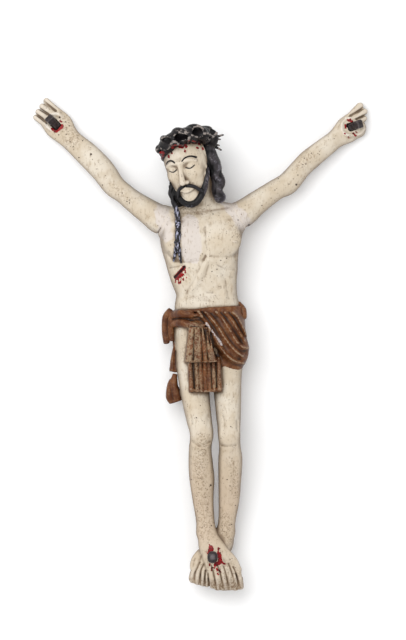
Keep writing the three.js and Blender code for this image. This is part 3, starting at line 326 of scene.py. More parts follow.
def add_toes(clay):
    for x, y, z, half in TOES:
        spread = math.hypot(x - TOE_FAN[0], y - TOE_FAN[1])
        root_x = x - (x - TOE_FAN[0]) / spread * TOE_LENGTH
        root_y = y - (y - TOE_FAN[1]) / spread * TOE_LENGTH
        clay.limb([
            [root_x, root_y, z + TOE_RISE, half, half],
            [(x + root_x) / 2, (y + root_y) / 2, z + TOE_RISE, half, half],
            [x, y, z, half, half * 1.1],
        ], 0.3)
    for web in TOE_WEBS:
        clay.limb(web, 0.15, power=4, steps=1)


def add_trunk_and_legs(clay):
    clay.limb(TRUNK, 0.1, power=2.5, cap=0.5)
    clay.limb(RIGHT_LEG, 0.25)
    clay.limb(LEFT_LEG, 0.25)
    for form in KNEES:
        clay.ball(*form)
    clay.limb(LEFT_FOOT, 0.3)
    for form in HEEL:
        clay.ball(*form)
    clay.limb(RIGHT_FOOT, 0.3)
    add_toes(clay)


CHEST_LINES = [
    ([[0.46, 11.6], [0.5, 11.1], [0.64, 10.6], [0.5, 10.1], [0.62, 9.6], [0.5, 8.9]], 0.17, 0.075),
    ([[-3.2, 8.9], [-2.5, 8.3], [-1.39, 8.12], [-0.48, 8.23], [0.14, 8.38], [0.5, 8.67]], 0.22, 0.09),
    ([[1, 8.75], [2.5, 8.67], [3.6, 8.75]], 0.2, 0.08),
    ([[0.5, 8.67], [-0.1, 7.5], [-0.73, 6.16], [-1.13, 5.55], [-1.35, 5.05]], 0.17, 0.06),
    ([[0.75, 8.3], [0.15, 7.2], [-0.4, 6.1], [-0.9, 5.3]], 0.3, -0.14),
    ([[1.2, 8.2], [1.85, 6.7], [2.25, 5.6], [2.5, 4.6]], 0.32, -0.14),
    ([[2.07, 6.67], [2.47, 6.38], [2.58, 5.58]], 0.13, 0.06), ([[2.6, 5.3], [2.8, 4.5]], 0.13, 0.07),
    ([[1.23, 7.9], [1.74, 7.8], [2.61, 7.43], [3.45, 7.4]], 0.17, 0.09),
    ([[1.63, 7.15], [2.35, 6.81], [3.2, 6.6]], 0.16, 0.06), ([[-3.05, 7.55], [-2, 7.75]], 0.16, 0.1),
    ([[-2.8, 6.6], [-1.9, 6.7], [-0.9, 7]], 0.2, 0.05),
    ([[0.8, 8.12], [0.61, 7.21], [0.47, 6.67]], 0.17, 0.05), ([[0.65, 5.08], [1.2, 5.06]], 0.15, 0.07),
    ([[-0.7, 4.65], [-0.1, 4.35], [0.9, 4.3]], 0.22, 0.06),
]
CHEST_BEHIND = 3.4


def model_chest(clay):
    for form in CHEST:
        clay.ball(*form)
    clay.strokes(CHEST_LINES, CHEST_BEHIND, 0.6)


RIGHT_ARM = [
    [-2.2, 11.9, 2.7, 1.5, 1.9], [-4, 12.45, 2.6, 1.5, 1.6], [-4.85, 12.95, 2.5, 1.33, 1.4],
    [-6.65, 14.2, 2.3, 1.1, 1.2], [-7.7, 15.05, 2.15, 1.03, 1.1], [-8.7, 15.85, 2, 1.13, 1.05],
    [-9.8, 17.35, 1.8, 1.21, 1.1], [-11.3, 18.9, 1.6, 1.2, 1.05], [-13, 20.45, 1.1, 1.06, 0.85],
    [-14.15, 21.75, 0.75, 1.42, 0.8], [-15, 22.65, 0.72, 1.25, 0.65],
]

LEFT_ARM = [
    [1.95, 11.9, 2.7, 1.5, 1.9], [4.15, 12.95, 2.6, 1.4, 1.6], [5.6, 14.05, 2.4, 1.2, 1.3],
    [7.55, 15.4, 2.2, 1.05, 1.15], [8.75, 16.05, 2.05, 1.12, 1.1], [9.95, 17.45, 1.9, 1.03, 1.05],
    [10.9, 18.4, 1.7, 1.05, 1], [12.6, 19.75, 1.5, 0.97, 0.85], [13.55, 20.5, 1.1, 0.94, 0.85],
    [14.65, 21.35, 0.75, 1.3, 0.8], [15.3, 22, 0.72, 1.2, 0.65],
]

# Fingers as root x, y, tip x, y and half width
RIGHT_FINGERS = [
    [-14.35, 23.3, -15.45, 24.3, 0.31], [-14.9, 23.05, -15.85, 23.75, 0.3],
    [-15.3, 22.6, -16.25, 23.2, 0.3], [-15.6, 22, -16.5, 22.65, 0.28],
]
LEFT_FINGERS = [
    [14.9, 22.65, 15.98, 23.8, 0.36], [15.5, 22.5, 16.42, 23.25, 0.32], [15.8, 22.1, 16.4, 22.55, 0.28],
]
FINGER_DEPTH = 0.42
FINGER_HEIGHT = 0.75
FINGER_BEND = 0.1


def add_fingers(clay, fingers):
    for root_x, root_y, tip_x, tip_y, half in fingers:
        clay.limb([
            [root_x, root_y, FINGER_HEIGHT, half, FINGER_DEPTH],
            [(root_x + tip_x) / 2, (root_y + tip_y) / 2, FINGER_HEIGHT + FINGER_BEND, half, FINGER_DEPTH],
            [tip_x, tip_y, FINGER_HEIGHT, half, FINGER_DEPTH],
        ], 0.12)


def add_arms(clay):
    clay.limb(RIGHT_ARM, 0.5)
    clay.limb(LEFT_ARM, 0.5)
    clay.ball(*LEFT_PALM)
    add_fingers(clay, RIGHT_FINGERS)
    add_fingers(clay, LEFT_FINGERS)


# Head, in its own upright frame of x to its left, y up and z forward from the middle of the skull

HEAD_FRAME = frame_at((-1.3, 18, 4.6), Z=13, Y=-20, X=8)
# Round forms by middle, radii and blend
SKULL = ([0, 0.4, -0.2], [2.25, 2.8, 2.5], 0.4)
JAW = ([0, -1.1, 0.5], [1.85, 2.75, 1.85], 0.6)
CHIN = ([0, -3.2, 1.35], [0.75, 0.6, 0.7], 0.6)
CHEEK = ([1.15, -0.75, 1.45], [0.65, 0.55, 0.55], 0.5)
SOCKET = ([0.92, 0.05, 2.55], [0.62, 0.36, 0.5], 0.35)
EYEBALL = ([0.92, 0.0, 1.75], [0.52, 0.34, 0.45], 0.1)
NOSTRIL = ([0.36, -1.5, 2.6], [0.24, 0.2, 0.3], 0.12)

NECK = [[0.3, 13.0, 2.9, 1.5, 1.3], [0.3, 14.6, 3.4, 1.3, 1.2], [-0.2, 16.5, 4.2, 1.3, 1.2]]
BROW = [[0, 0.5, 2.3, 0.2, 0.22], [0.8, 0.62, 2.2, 0.2, 0.2], [1.5, 0.35, 1.75, 0.18, 0.18]]
NOSE = [[0, 0.4, 2.25, 0.24, 0.25], [0, -0.6, 2.6, 0.25, 0.3], [0, -1.4, 2.95, 0.32, 0.32]]
UPPER_LIP = [[-0.7, -2.2, 2.1, 0.14, 0.14], [0, -2.1, 2.42, 0.16, 0.16], [0.7, -2.2, 2.1, 0.14, 0.14]]
LOWER_LIP = [[-0.6, -2.3, 2.1, 0.14, 0.14], [0, -2.42, 2.38, 0.18, 0.16], [0.6, -2.3, 2.1, 0.14, 0.14]]
BEARD = [
    [1.95, -0.6, 0.2, 0.3, 0.3], [1.75, -1.9, 0.95, 0.32, 0.3], [1.25, -3, 1.45, 0.34, 0.32],
    [0.55, -3.7, 1.75, 0.36, 0.34], [0, -3.85, 1.8, 0.36, 0.34],
]
MOUSTACHE = [[0.2, -1.85, 2.5, 0.16, 0.16], [0.8, -2.1, 2.25, 0.18, 0.18], [1.3, -2.9, 1.65, 0.2, 0.2]]


def facing(side, row):
    return [side * row[0], *row[1:]]


def add_head(clay):
    clay.limb(NECK, 0.5)
    for form in (SKULL, JAW, CHIN):
        clay.ball(*form, frame=HEAD_FRAME)
    for side in (-1, 1):
        for form in (CHEEK, SOCKET, EYEBALL):
            clay.ball(facing(side, form[0]), *form[1:], frame=HEAD_FRAME, carve=form is SOCKET)
        clay.limb([facing(side, row) for row in BROW], 0.25, frame=HEAD_FRAME)
        clay.ball(facing(side, NOSTRIL[0]), *NOSTRIL[1:], frame=HEAD_FRAME)
        clay.limb([facing(side, row) for row in BEARD], 0.12, "hair", frame=HEAD_FRAME)
        clay.limb([facing(side, row) for row in MOUSTACHE], 0.1, "hair", frame=HEAD_FRAME)
    clay.limb(NOSE, 0.2, frame=HEAD_FRAME)
    clay.limb(UPPER_LIP, 0.1, frame=HEAD_FRAME)
    clay.limb(LOWER_LIP, 0.1, frame=HEAD_FRAME)


# Hair: a cap behind the face, a wavy lock beside it and a twisted strand on the chest

CAP = ([0, 0.35, -0.75], [2.45, 2.85, 2.3], 0.3)
NAPE = ([0.1, -1.8, -1.3], [2.1, 2.2, 1.4], 0.4)
BESIDE_NECK = ([-2.1, 15.3, 3.7], [0.75, 1.6, 0.9], 0.3)
SIDE_LOCK = [
    [0.85, 19.7, 4.7, 0.55, 0.7], [1.15, 18.55, 5.1, 0.6, 0.7], [1.45, 17.75, 5.1, 0.68, 0.65],
    [1.5, 17.05, 5, 0.6, 0.6], [1.8, 16.2, 4.9, 0.66, 0.6], [1.7, 15.3, 4.85, 0.58, 0.6],
    [1.95, 14.6, 4.8, 0.6, 0.55],
]
STRAND = [
    [-2.9, 15.7], [-2.95, 15], [-2.65, 14.1], [-2.35, 13.1], [-2.25, 12.1], [-2.25, 11.1], [-2.3, 10.1],
]
STRAND_TIPS = [[-2.7, 8.25], [-1.95, 8.1]]
STRAND_RISE = 4.75
STRAND_TURNS = 3
STRAND_TWIST = 0.09
STRAND_HALF = 0.21


def add_hair(clay):
    clay.ball(*CAP, "hair", frame=HEAD_FRAME)
    clay.ball(*NAPE, "hair", frame=HEAD_FRAME)
    clay.ball(*BESIDE_NECK, "hair")
    clay.limb(SIDE_LOCK, 0.25, "hair")

    def chest(x, y):
        return max(clay.front(x, y), STRAND_RISE) + STRAND_HALF / 3

    laid = [[x, y, chest(x, y)] for x, y in threaded(STRAND, 4)]
    for way, (x, y) in enumerate(STRAND_TIPS):
        path = []
        for index, (laid_x, laid_y, laid_z) in enumerate(laid):
            turn = math.pi * (way + 2 * STRAND_TURNS * index / len(laid))
            twist_x, twist_z = STRAND_TWIST * math.cos(turn), STRAND_TWIST / 2 * math.sin(turn)
            path.append([laid_x + twist_x, laid_y, laid_z + twist_z, STRAND_HALF, STRAND_HALF])
        root_x, root_y = STRAND[-1]
        for share in (0.3, 0.65, 1):
            tip_x, tip_y = root_x + share * (x - root_x), root_y + share * (y - root_y)
            half = STRAND_HALF * (1.2 - 0.7 * share)
            path.append([tip_x, tip_y, chest(tip_x, tip_y) + 0.05, half, STRAND_HALF])
        clay.limb(path, 0.08, "hair", steps=2)


# Crown: two stems wound round each other

CROWN_RADII = (2.3, 2.4)
CROWN_STEM = 0.4
CROWN_WINDING = 0.54
CROWN_CORE = 0.7
CROWN_TWISTS = 9
CROWN_STEPS = 84
CROWN_START = 0.94
CROWN_FILL = 0.8  # half thickness of the hair that fills the ring of the crown
CROWN_FILL_RISE = 0.15
CROWN_FRAME = HEAD_FRAME @ frame_at((0.52, 1.88, 0), Z=11, X=-30)


def crown_stem(phase, winding, half):
    path = []
    for step in range(CROWN_STEPS + 1):
        around = 2 * math.pi * step / CROWN_STEPS
        twist = CROWN_TWISTS * around / 2 + phase
        out = winding * math.cos(twist)
        path.append([(CROWN_RADII[0] + out) * math.cos(around), winding * math.sin(twist),
                     (CROWN_RADII[1] + out) * math.sin(around), half, half])
    return path


THORNS = [
    ([1, 20.5, 4.4], [2.25, 20.85, 4.3]), ([1, 20.5, 4.6], [1.95, 20.4, 4.7]),
    ([0.9, 20, 4.4], [2.05, 19.35, 4.3]), ([0.9, 20, 4.6], [1.85, 19.8, 4.8]),
]
THORN_HALF = 0.2


# Hollows under the crown's upper band, by middle, half width, half height and lean, and the lip below
CROWN_HOLLOWS = [
    [-3.36, 20.05, 0.58, 0.34, 25], [-1.89, 20.55, 0.72, 0.4, 12], [-0.31, 21.1, 0.53, 0.32, 5],
    [1.15, 21.05, 0.4, 0.28, -25], [-4.25, 19.5, 0.2, 0.18, 30],
]
HOLLOW_RISE = 40
CROWN_LIP = [
    [-4.35, 19.25], [-4.03, 19.52], [-3.59, 19.38], [-3.16, 19.55], [-2.7, 20.15], [-2.29, 19.93],
    [-1.85, 19.82], [-1.35, 20.05], [-1, 20.7], [-0.48, 20.6], [-0.04, 20.63], [0.36, 20.95], [0.8, 20.9],
    [1.19, 20.65], [1.6, 21],
]
LIP_HALF = 0.15
CROWN_LOWEST = 2


def add_hollows(clay):
    lip = [[x, y, clay.front(x, y)] for x, y in threaded(CROWN_LIP, 3)]
    if min(z for _, _, z in lip) < CROWN_LOWEST:
        return  # the crown is outside this grid
    for x, y, wide, high, lean in CROWN_HOLLOWS:
        place = frame_at((x, y, clay.front(x, y)), Z=lean, X=HOLLOW_RISE)
        clay.ball([0, 0, 0.1], [wide, high, 0.9], 0.06, frame=place, carve=True)
    clay.cord([[x, y, z + LIP_HALF / 3] for x, y, z in lip], LIP_HALF, 0.08, "crown", steps=1)


def add_crown(clay):
    inside = [CROWN_RADII[0], CROWN_FILL, CROWN_RADII[1]]
    clay.ball([0, CROWN_FILL_RISE, 0], inside, 0.15, "hair", frame=CROWN_FRAME)
    clay.limb(crown_stem(0, 0, CROWN_CORE), 0.1, "crown", steps=1, frame=CROWN_FRAME)
    for phase in (CROWN_START, CROWN_START + math.pi):
        clay.limb(crown_stem(phase, CROWN_WINDING, CROWN_STEM), 0.08, "crown", steps=1, frame=CROWN_FRAME)
    for root, tip in THORNS:
        ends = [[*root, THORN_HALF, THORN_HALF], [*tip, THORN_HALF / 2, THORN_HALF / 2]]
        clay.limb(ends, 0.04, "crown", steps=1)
    add_hollows(clay)


# Loincloth

WAIST = 3.5
WAIST_SLOPE = 0.07
WRAP_HEM = -0.6
RIGHT_HEM = 1.7  # the hem of the front, as far as the swag
RIGHT_HEM_END = 0.4
FRONT_FROM = 2.4
WRAP_THICKNESS = 0.22
SWAG = [
    ([1.05, 2.55, 4.25], [1.3, 0.95, 0.85], 0.5), ([2.55, 1.5, 3.95], [1.85, 2, 1.4], 0.5),
    ([3.1, -0.6, 3.75], [1.75, 2.2, 1.6], 0.5),
]
SWAG_FOLDS = [
    [[-0.2, 3.2], [0.55, 2.15], [1.25, 1.05], [1.8, -0.1], [2.5, -1], [3.3, -1.7], [4.3, -2]],
    [[0.45, 3.15], [1.15, 2.45], [1.95, 1.35], [2.65, 0.25], [3.4, -0.65], [4.2, -1.25]],
    [[1.55, 3.15], [2.15, 2.55], [2.95, 1.35], [3.55, 0.3], [4.2, -0.35], [4.75, -0.45]],
    [[2.45, 3.1], [3.15, 2.35], [3.9, 1.1], [4.4, 0.3]],
    [[3.25, 3.1], [3.75, 2.6], [4.25, 1.6], [4.6, 0.8]],
]
FOLD_WIDTH = 0.17
FOLD_HEIGHT = 0.24
FOLD_BEHIND = 3.4
FOLD_FADE = 1.1
FOLD_HOLLOW = (-0.42, -0.28)
FOLD_HOLLOW_WIDTH = 0.4
FOLD_HOLLOW_DEPTH = 0.23
RIGHT_ROLLS = [
    [[-2.75, 2.8, 3.2], [-2, 2.95, 4.4], [-1, 2.9, 4.9], [0, 2.75, 5.15]],
    [[-2.75, 2, 3.2], [-2, 2.05, 4.5], [-1, 1.9, 4.95], [0.3, 1.8, 5.2]],
]
ROLL_HALF = 0.4
RIGHT_BUNCH = [
    [[-3, 3.3, 3], [-3.5, 2.6, 2.9], [-3.55, 1.2, 2.8], [-3.4, 0.1, 2.8]],
    [[-2.8, 3.1, 3.2], [-2.95, 2.2, 3.2], [-2.95, 1.1, 3.1], [-2.85, 0.4, 3]],
]
BUNCH_HALF = 0.33
RIGHT_TAILS = [
    [[-2.5, 0.1, 2.6, 0.15, 0.5], [-2.65, -1.4, 2.6, 0.32, 0.55], [-2.72, -2.75, 2.6, 0.42, 0.6]],
    [[-2.6, -3.1, 2.7, 0.28, 0.5], [-2.8, -4.2, 2.7, 0.56, 0.6], [-2.66, -5.2, 2.7, 0.83, 0.6],
     [-2.5, -5.75, 2.7, 0.7, 0.5]],
]
# Tiers of the hanging end: left and right edges at the top and bottom, top, bottom, front, pleats
TIERS = [
    ((-1.25, 2.0), (-1.05, 2.1), -1.4, -4.75, 5.5, 7),
    ((-1.2, 1.0), (-1.6, 1.7), 1.6, -1.75, 5.75, 7),
]
PLEAT_DEPTH = 0.42
PLEAT_OVERLAP = 1.85
TIER_BACKING = 0.75
PLEAT_UNEVEN = 0.24  # shares of a pleat that the carver strayed by
PLEAT_LIFT = 0.09
HIP_KNOT = [[3.9, 4.0, 2.9, 0.2, 0.4], [4.3, 3.4, 3.1, 0.28, 0.45], [4.35, 2.7, 3.2, 0.3, 0.45]]


def add_tier(clay, upper, lower, top, bottom, front, pleats):
    half = (lower[1] - lower[0]) / pleats / PLEAT_OVERLAP
    uneven = np.random.default_rng(int(10 * top) + 50)
    for pleat in range(pleats):
        share = (pleat + 0.5 + uneven.uniform(-PLEAT_UNEVEN, PLEAT_UNEVEN)) / pleats
        front += uneven.uniform(-PLEAT_LIFT, PLEAT_LIFT)
        upper_x = upper[0] + share * (upper[1] - upper[0])
        lower_x = lower[0] + share * (lower[1] - lower[0])
        clay.limb([
            [upper_x, top, front - PLEAT_DEPTH, half * 0.8, PLEAT_DEPTH],
            [(upper_x + lower_x) / 2, (top + bottom) / 2, front - PLEAT_DEPTH, half, PLEAT_DEPTH],
            [lower_x, bottom, front - PLEAT_DEPTH, half, PLEAT_DEPTH],
        ], 0.05, "cloth", cap=0.4)
    depth = front - PLEAT_DEPTH - TIER_BACKING
    backing = [[sum(edges) / 2, y, depth, (edges[1] - edges[0]) / 2, TIER_BACKING]
               for edges, y in ((upper, top), (lower, bottom))]
    clay.limb(backing, 0.1, "cloth", power=6, cap=0.05, steps=1)


def add_loincloth(clay):
    def edge(x, y, z):
        hem = np.where((z >= FRONT_FROM) & (x < RIGHT_HEM_END), RIGHT_HEM, WRAP_HEM)
        return np.maximum(y - WAIST - WAIST_SLOPE * x, hem - y)

    clay.drape([-4, WRAP_HEM - 1, 0], [6, WAIST + 1, FAR], WRAP_THICKNESS, edge)
    for rows in RIGHT_ROLLS:
        clay.cord(rows, ROLL_HALF, 0.08, "cloth")
    for rows in RIGHT_BUNCH:
        clay.cord(rows, BUNCH_HALF, 0.1, "cloth", cap=0.5)
    for rows in RIGHT_TAILS:
        clay.limb(rows, 0.08, "cloth", power=3, cap=0.3)
    for tier in TIERS:
        add_tier(clay, *tier)
    for form in SWAG:
        clay.ball(*form, "cloth")
    for crest in SWAG_FOLDS:
        hollow = [[x + FOLD_HOLLOW[0], y + FOLD_HOLLOW[1]] for x, y in crest]
        clay.stroke(crest, FOLD_WIDTH, -FOLD_HEIGHT, FOLD_BEHIND, FOLD_FADE)
        clay.stroke(hollow, FOLD_HOLLOW_WIDTH, FOLD_HOLLOW_DEPTH, FOLD_BEHIND, FOLD_FADE)
    clay.limb(HIP_KNOT, 0.1, "cloth")


# Finer gouge lines, as a path in the plane, width and depth, raised where the depth is negative

TOE_LINES = [
    [[-0.05, -21.9], [-0.3, -22.4], [-0.62, -23.15], [-0.6, -24]],
    [[0.3, -22.1], [0.05, -22.7], [-0.03, -23.3], [-0.05, -24.1]],
    [[0.5, -22.7], [0.42, -23.5], [0.45, -24.3]], [[0.75, -23], [0.8, -23.7], [0.87, -24.4]],
]
UPPER_TOE_LINES = [
    [[1.1, -22.2], [1.28, -22.9], [1.45, -23.7], [1.6, -24.6]],
    [[1.7, -22.2], [1.9, -22.7], [2.1, -23.5], [2.35, -24.7]],
    [[2.3, -22.3], [2.5, -22.9], [2.72, -23.8], [2.9, -24.7]],
    [[2.8, -22], [3.05, -22.7], [3.35, -23.6], [3.62, -24.6]], [[3.3, -22.4], [3.6, -23.2], [3.9, -24.4]],
]
TOE_CUT = (0.07, 0.13)
TOE_HOLLOW = (0.2, 0.06)
FOOT_LINES = [
    ([[-0.6, -21.6], [-0.9, -22.9]], 0.16, 0.1), ([[1.9, -20.6], [2.6, -22.2]], 0.2, 0.1),
    ([[1.2, -20.9], [1.5, -22.2]], 0.2, 0.08), ([[2.6, -20.9], [3.2, -22.3]], 0.12, 0.06),
    ([[0.2, -21], [-0.2, -22]], 0.12, 0.06),
]
FINGER_LINES = [
    ([[-15.8, 24.3], [-15.1, 23.8], [-14.5, 23.3]], 0.09, 0.4),
    ([[-16.25, 23.6], [-15.1, 22.85]], 0.08, 0.38), ([[-16.6, 23.05], [-15.5, 22.2]], 0.08, 0.38),
    ([[15, 22.8], [16.4, 23.65]], 0.09, 0.4), ([[15.6, 22.5], [16.7, 22.95]], 0.08, 0.35),
]
WOUND_LUMPS = [
    ([[-14.9, 22.95], [-14.4, 23.05], [-13.95, 22.8]], 0.2, -0.2),
    ([[-15.45, 21.9], [-15.25, 21.6], [-15, 21.4]], 0.18, -0.18),
    ([[14.6, 22.5], [14.2, 22.1], [14.15, 21.5], [14.5, 21], [15.2, 20.85], [16, 21], [16.4, 21.5]],
     0.16, -0.2),
    ([[14.9, 22.5], [15.4, 22.6], [15.9, 22.6]], 0.14, -0.12),
]
LEG_LINES = [
    ([[-0.95, -7.3], [-0.8, -8]], 0.14, 0.07), ([[0.75, -7.2], [0.7, -8.2]], 0.18, 0.05),
    ([[2.3, -7.3], [2.43, -8.2], [2.3, -9]], 0.2, 0.1), ([[3.65, -7.75], [3.68, -8.7]], 0.12, 0.07),
    ([[2.15, -10.2], [2.8, -10.28], [3.5, -10.15]], 0.15, 0.1),
    ([[-0.7, -9.9], [0.1, -10.3], [0.9, -9.8]], 0.2, 0.1),
    ([[2.5, -10.6], [2.45, -13], [2.35, -16]], 0.3, 0.09),
    ([[3.3, -10.6], [3.35, -13], [3, -16.2]], 0.3, 0.09),
    ([[-0.5, -11], [-0.45, -14], [-0.2, -16.5]], 0.3, 0.09),
    ([[0.55, -11], [0.6, -14], [0.75, -16.5]], 0.3, 0.07),
]
CHEST_FINE = [
    ([[-3.9, 12.9], [-2.2, 13], [-0.9, 12.5], [0.2, 12.6]], 0.24, -0.05),
    ([[1, 12.6], [2.3, 13.1], [3.7, 13.4]], 0.24, -0.05), ([[-2.4, 12.35], [-1, 11.9]], 0.3, 0.05),
    ([[1.6, 12.1], [3, 12.4]], 0.3, 0.05), ([[3.3, 10.2], [3.55, 10.15]], 0.16, -0.13),
    ([[-2.9, 10.1], [-2.7, 10.1]], 0.16, -0.13), ([[0.72, 11], [0.66, 10.4]], 0.1, -0.1),
    ([[0.7, 12.1], [0.72, 11.6]], 0.12, -0.1),
    ([[-2.55, 6.65], [-2, 7.2], [-1.6, 7.7]], 0.16, 0.2),  # the wound in the side
]
LOCK_LINES = [
    ([[0.9, 18.9], [1.6, 18.3], [2.1, 17.9]], 0.2, 0.05),
    ([[0.95, 17.7], [1.4, 17.1], [1.9, 16.7]], 0.2, 0.05),
    ([[1.2, 16.5], [1.8, 15.9], [2.3, 15.4]], 0.2, 0.06),
    ([[1.1, 19.3], [1.25, 18.2], [1.2, 17], [1.5, 16], [1.45, 15]], 0.07, 0.04),
]
ARMPIT_CRACKS = [
    ([[-4.5, 10.7], [-4.15, 11.25], [-3.95, 11.6]], 0.05, 0.2), ([[4.85, 11.1], [4.65, 11.6]], 0.1, 0.22),
]
CLOTH_LINES = [
    ([[-1, 2.3], [-0.2, 2.35], [0.35, 2.1]], 0.1, 0.1),
    ([[-2.4, 3.35], [-1.2, 3.2], [0, 3.25]], 0.12, -0.08),
    ([[-1.5, -1.7], [0.1, -1.9], [1.65, -1.75]], 0.16, -0.07),
    ([[-1.1, -4.55], [0.3, -4.75], [2.1, -4.5]], 0.14, -0.1),
    ([[-2.9, -2.9], [-2.95, -4.2], [-2.75, -5.6]], 0.14, 0.12), ([[-2.55, -0.8], [-2.6, -2.6]], 0.12, 0.1),
]
COMB_STRANDS = 26
COMB_DEPTH = 0.035
COMBED_BOX = ([-3.2, -4.2, -3.8], [3.2, 3.6, 2.6])
# The nails in the hands by name, point, head and half width, then the nail in the feet
HAND_NAILS = [
    ("right_hand_nail", [-13.9, 21.3, 0.75], [-15.3, 22.7, 2.05], 0.4),
    ("left_hand_nail", [14.45, 21.5, 0.65], [16.0, 22.0, 2.1], 0.4),
]
NAIL_GAP = 0.3 * MM
FOOT_NAIL_POINT = [1.3, -21.5, 2.3]
FOOT_NAIL_SEAT = [1.2, -21.35, 4.4]
FOOT_NAIL_SHANK = 0.24
FOOT_NAIL_HEAD = 0.52


def comb_hair(clay):
    """Grooves round the cap of hair, running down from the top of the head."""
    box = clay.window(*framed_box(*COMBED_BOX, HEAD_FRAME))
    if box is None:
        return
    part = box[0]
    x, y, z = seen_in(HEAD_FRAME, *box[1:])
    around = np.arctan2(x, -z)
    wave = COMB_STRANDS * around + 1.3 * np.sin(1.9 * y + 2 * around) + 0.6 * np.sin(4.3 * y)
    near = np.clip(1 - np.abs(clay.kinds["hair"][part]) / 0.25, 0, 1)
    alone = np.clip(clay.kinds["crown"][part] / 0.15, 0, 1) * np.clip((1.4 - z) / 0.4, 0, 1)
    clay.values[part] += (COMB_DEPTH * np.sin(wave) * near * alone).astype(np.float32)


def carve_flesh(clay):
    for lines, behind in ((TOE_LINES, 2.6), (UPPER_TOE_LINES, 3.0)):
        for cut in (TOE_CUT, TOE_HOLLOW):
            clay.strokes([(points, *cut) for points in lines], behind, 0.3)
    clay.strokes(FOOT_LINES, 2.75, 0.3)
    clay.strokes(FINGER_LINES, 0.75, 0.3)
    clay.strokes(WOUND_LUMPS, 0.6)
    clay.strokes(LEG_LINES, 2.6)
    clay.strokes(CHEST_FINE, 3.2)
    clay.strokes(ARMPIT_CRACKS, 1.5)


def carve_details(clay):
    clay.strokes(LOCK_LINES, 4.2)
    clay.strokes(CLOTH_LINES, 2)
    comb_hair(clay)
    for _, point, head, half in HAND_NAILS:
        clay.cord([point, head], half + NAIL_GAP, 0.03, power=4, steps=1, carve=True)
    clay.cord([FOOT_NAIL_POINT, FOOT_NAIL_SEAT], FOOT_NAIL_SHANK + NAIL_GAP, 0.03, steps=1, carve=True)


def carve_figure(low, high, cell):
    clay = Clay(low, high, cell)
    add_trunk_and_legs(clay)
    add_arms(clay)
    model_chest(clay)
    carve_flesh(clay)
    add_loincloth(clay)
    add_head(clay)
    add_hair(clay)
    add_crown(clay)
    carve_details(clay)
    return clay


# Nails

HAMMER = 0.42
DENT = 0.05
DENT_RANGE = 0.015
BAR_DENTS, FOOT_NAIL_DENTS = 5000, 3000
BAR_LENGTH = 28 * MM
BAR_NECK = BAR_LENGTH - 0.62
BAR_TOP = BAR_LENGTH - 0.16


def forge(clay, seed, low, high, dents):
    """Hammer marks: shallow round dents at places drawn from a fixed seed."""
    places = np.random.default_rng(seed).uniform(low, high, (dents, 3))
    gaps = sampled(clay, clay.values, places)
    for place in places[np.abs(gaps - (HAMMER - DENT)) < DENT_RANGE]:
        clay.ball(place, [HAMMER] * 3, 0.05, carve=True)


def bar_nail(point, head, half, seed):
    point, head = np.array(point), np.array(head)
    along = (head - point) / np.linalg.norm(head - point)
    low, high = np.minimum(point, head) - 0.9, np.maximum(point, head) + 0.9
    clay = Clay(low, high, NAIL_CELL)
    neck = point + BAR_NECK * along
    top = point + BAR_TOP * along
    clay.limb([[*(point + 0.2 * along), half * 0.8, half * 0.75], [*neck, half * 0.92, half * 0.9]],
              0.03, power=5, cap=0.8, steps=1)
    clay.limb([[*(top - 0.3 * along), half, half], [*top, half * 1.08, half * 1.04]],
              0.12, power=5, cap=0.35, steps=1)
    forge(clay, seed, low, high, BAR_DENTS)
    return clay


def foot_nail():
    point, seat = np.array(FOOT_NAIL_POINT), np.array(FOOT_NAIL_SEAT)
    along = (seat - point) / np.linalg.norm(seat - point)
    clay = Clay(point - 0.7, seat + [0.9, 1.0, 0.9], NAIL_CELL)
    clay.cord([point + 0.25 * along, seat], FOOT_NAIL_SHANK, 0.03, power=3, steps=1)
    clay.ball(seat + 0.05 * along, [FOOT_NAIL_HEAD, FOOT_NAIL_HEAD * 1.15, 0.36], 0.05, power=2.4)
    forge(clay, 7, seat - 0.9, seat + 0.9, FOOT_NAIL_DENTS)
    return clay


# Parting at the shoulders

RIGHT_SEAM = [[-4.4, 10.45], [-2.95, 13.5], [-3.12, 13.95], [-3.9, 14.4], [-9, 27], [-19, 27], [-19, 10.45]]
LEFT_SEAM = [[4.85, 10.9], [2.95, 14.2], [3.6, 15.2], [9, 27], [19, 27], [19, 10.9]]
SLIP = 1.2 * MM
SLIP_DEPTH = 0.2 * MM


def outline_distance(outline, x, y):
    """Distance to a closed outline in the plane, negative inside."""
    closed = np.array(outline + outline[:1], float)
    inside = np.zeros(np.broadcast(x, y).shape, bool)
    for (ax, ay), (bx, by) in zip(closed[:-1], closed[1:]):
        crosses = (ay > y) != (by > y)
        inside ^= crosses & (x < (bx - ax) * (y - ay) / (by - ay if by != ay else 1e-9) + ax)
    distance = line_distance(closed, x, y)
    return np.where(inside, -distance, distance)


def part_at(clay, outline, side):
    """Keeps what is inside an outline (side 1), which slips a little under its neighbour (side -1)."""
    x, y = clay.axes[0][:, None], clay.axes[1][None, :]
    distance = outline_distance(outline, x, y)[:, :, None]
    if side > 0:
        clay.values = clay.values + SLIP_DEPTH * np.clip(distance / SLIP_DEPTH + 0.5, 0, 1)
        distance = distance - SLIP
    clay.values = np.maximum(clay.values, side * distance)


def stand_on_ground(clay):
    clay.values = np.maximum(clay.values, -clay.axes[2][None, None, :])


# Surface of a grid

EDGES = [(0, 1), (2, 3), (4, 5), (6, 7), (0, 2), (1, 3), (4, 6), (5, 7), (0, 4), (1, 5), (2, 6), (3, 7)]


def corner(bits):
    return np.array([bits & 1, bits >> 1 & 1, bits >> 2 & 1])


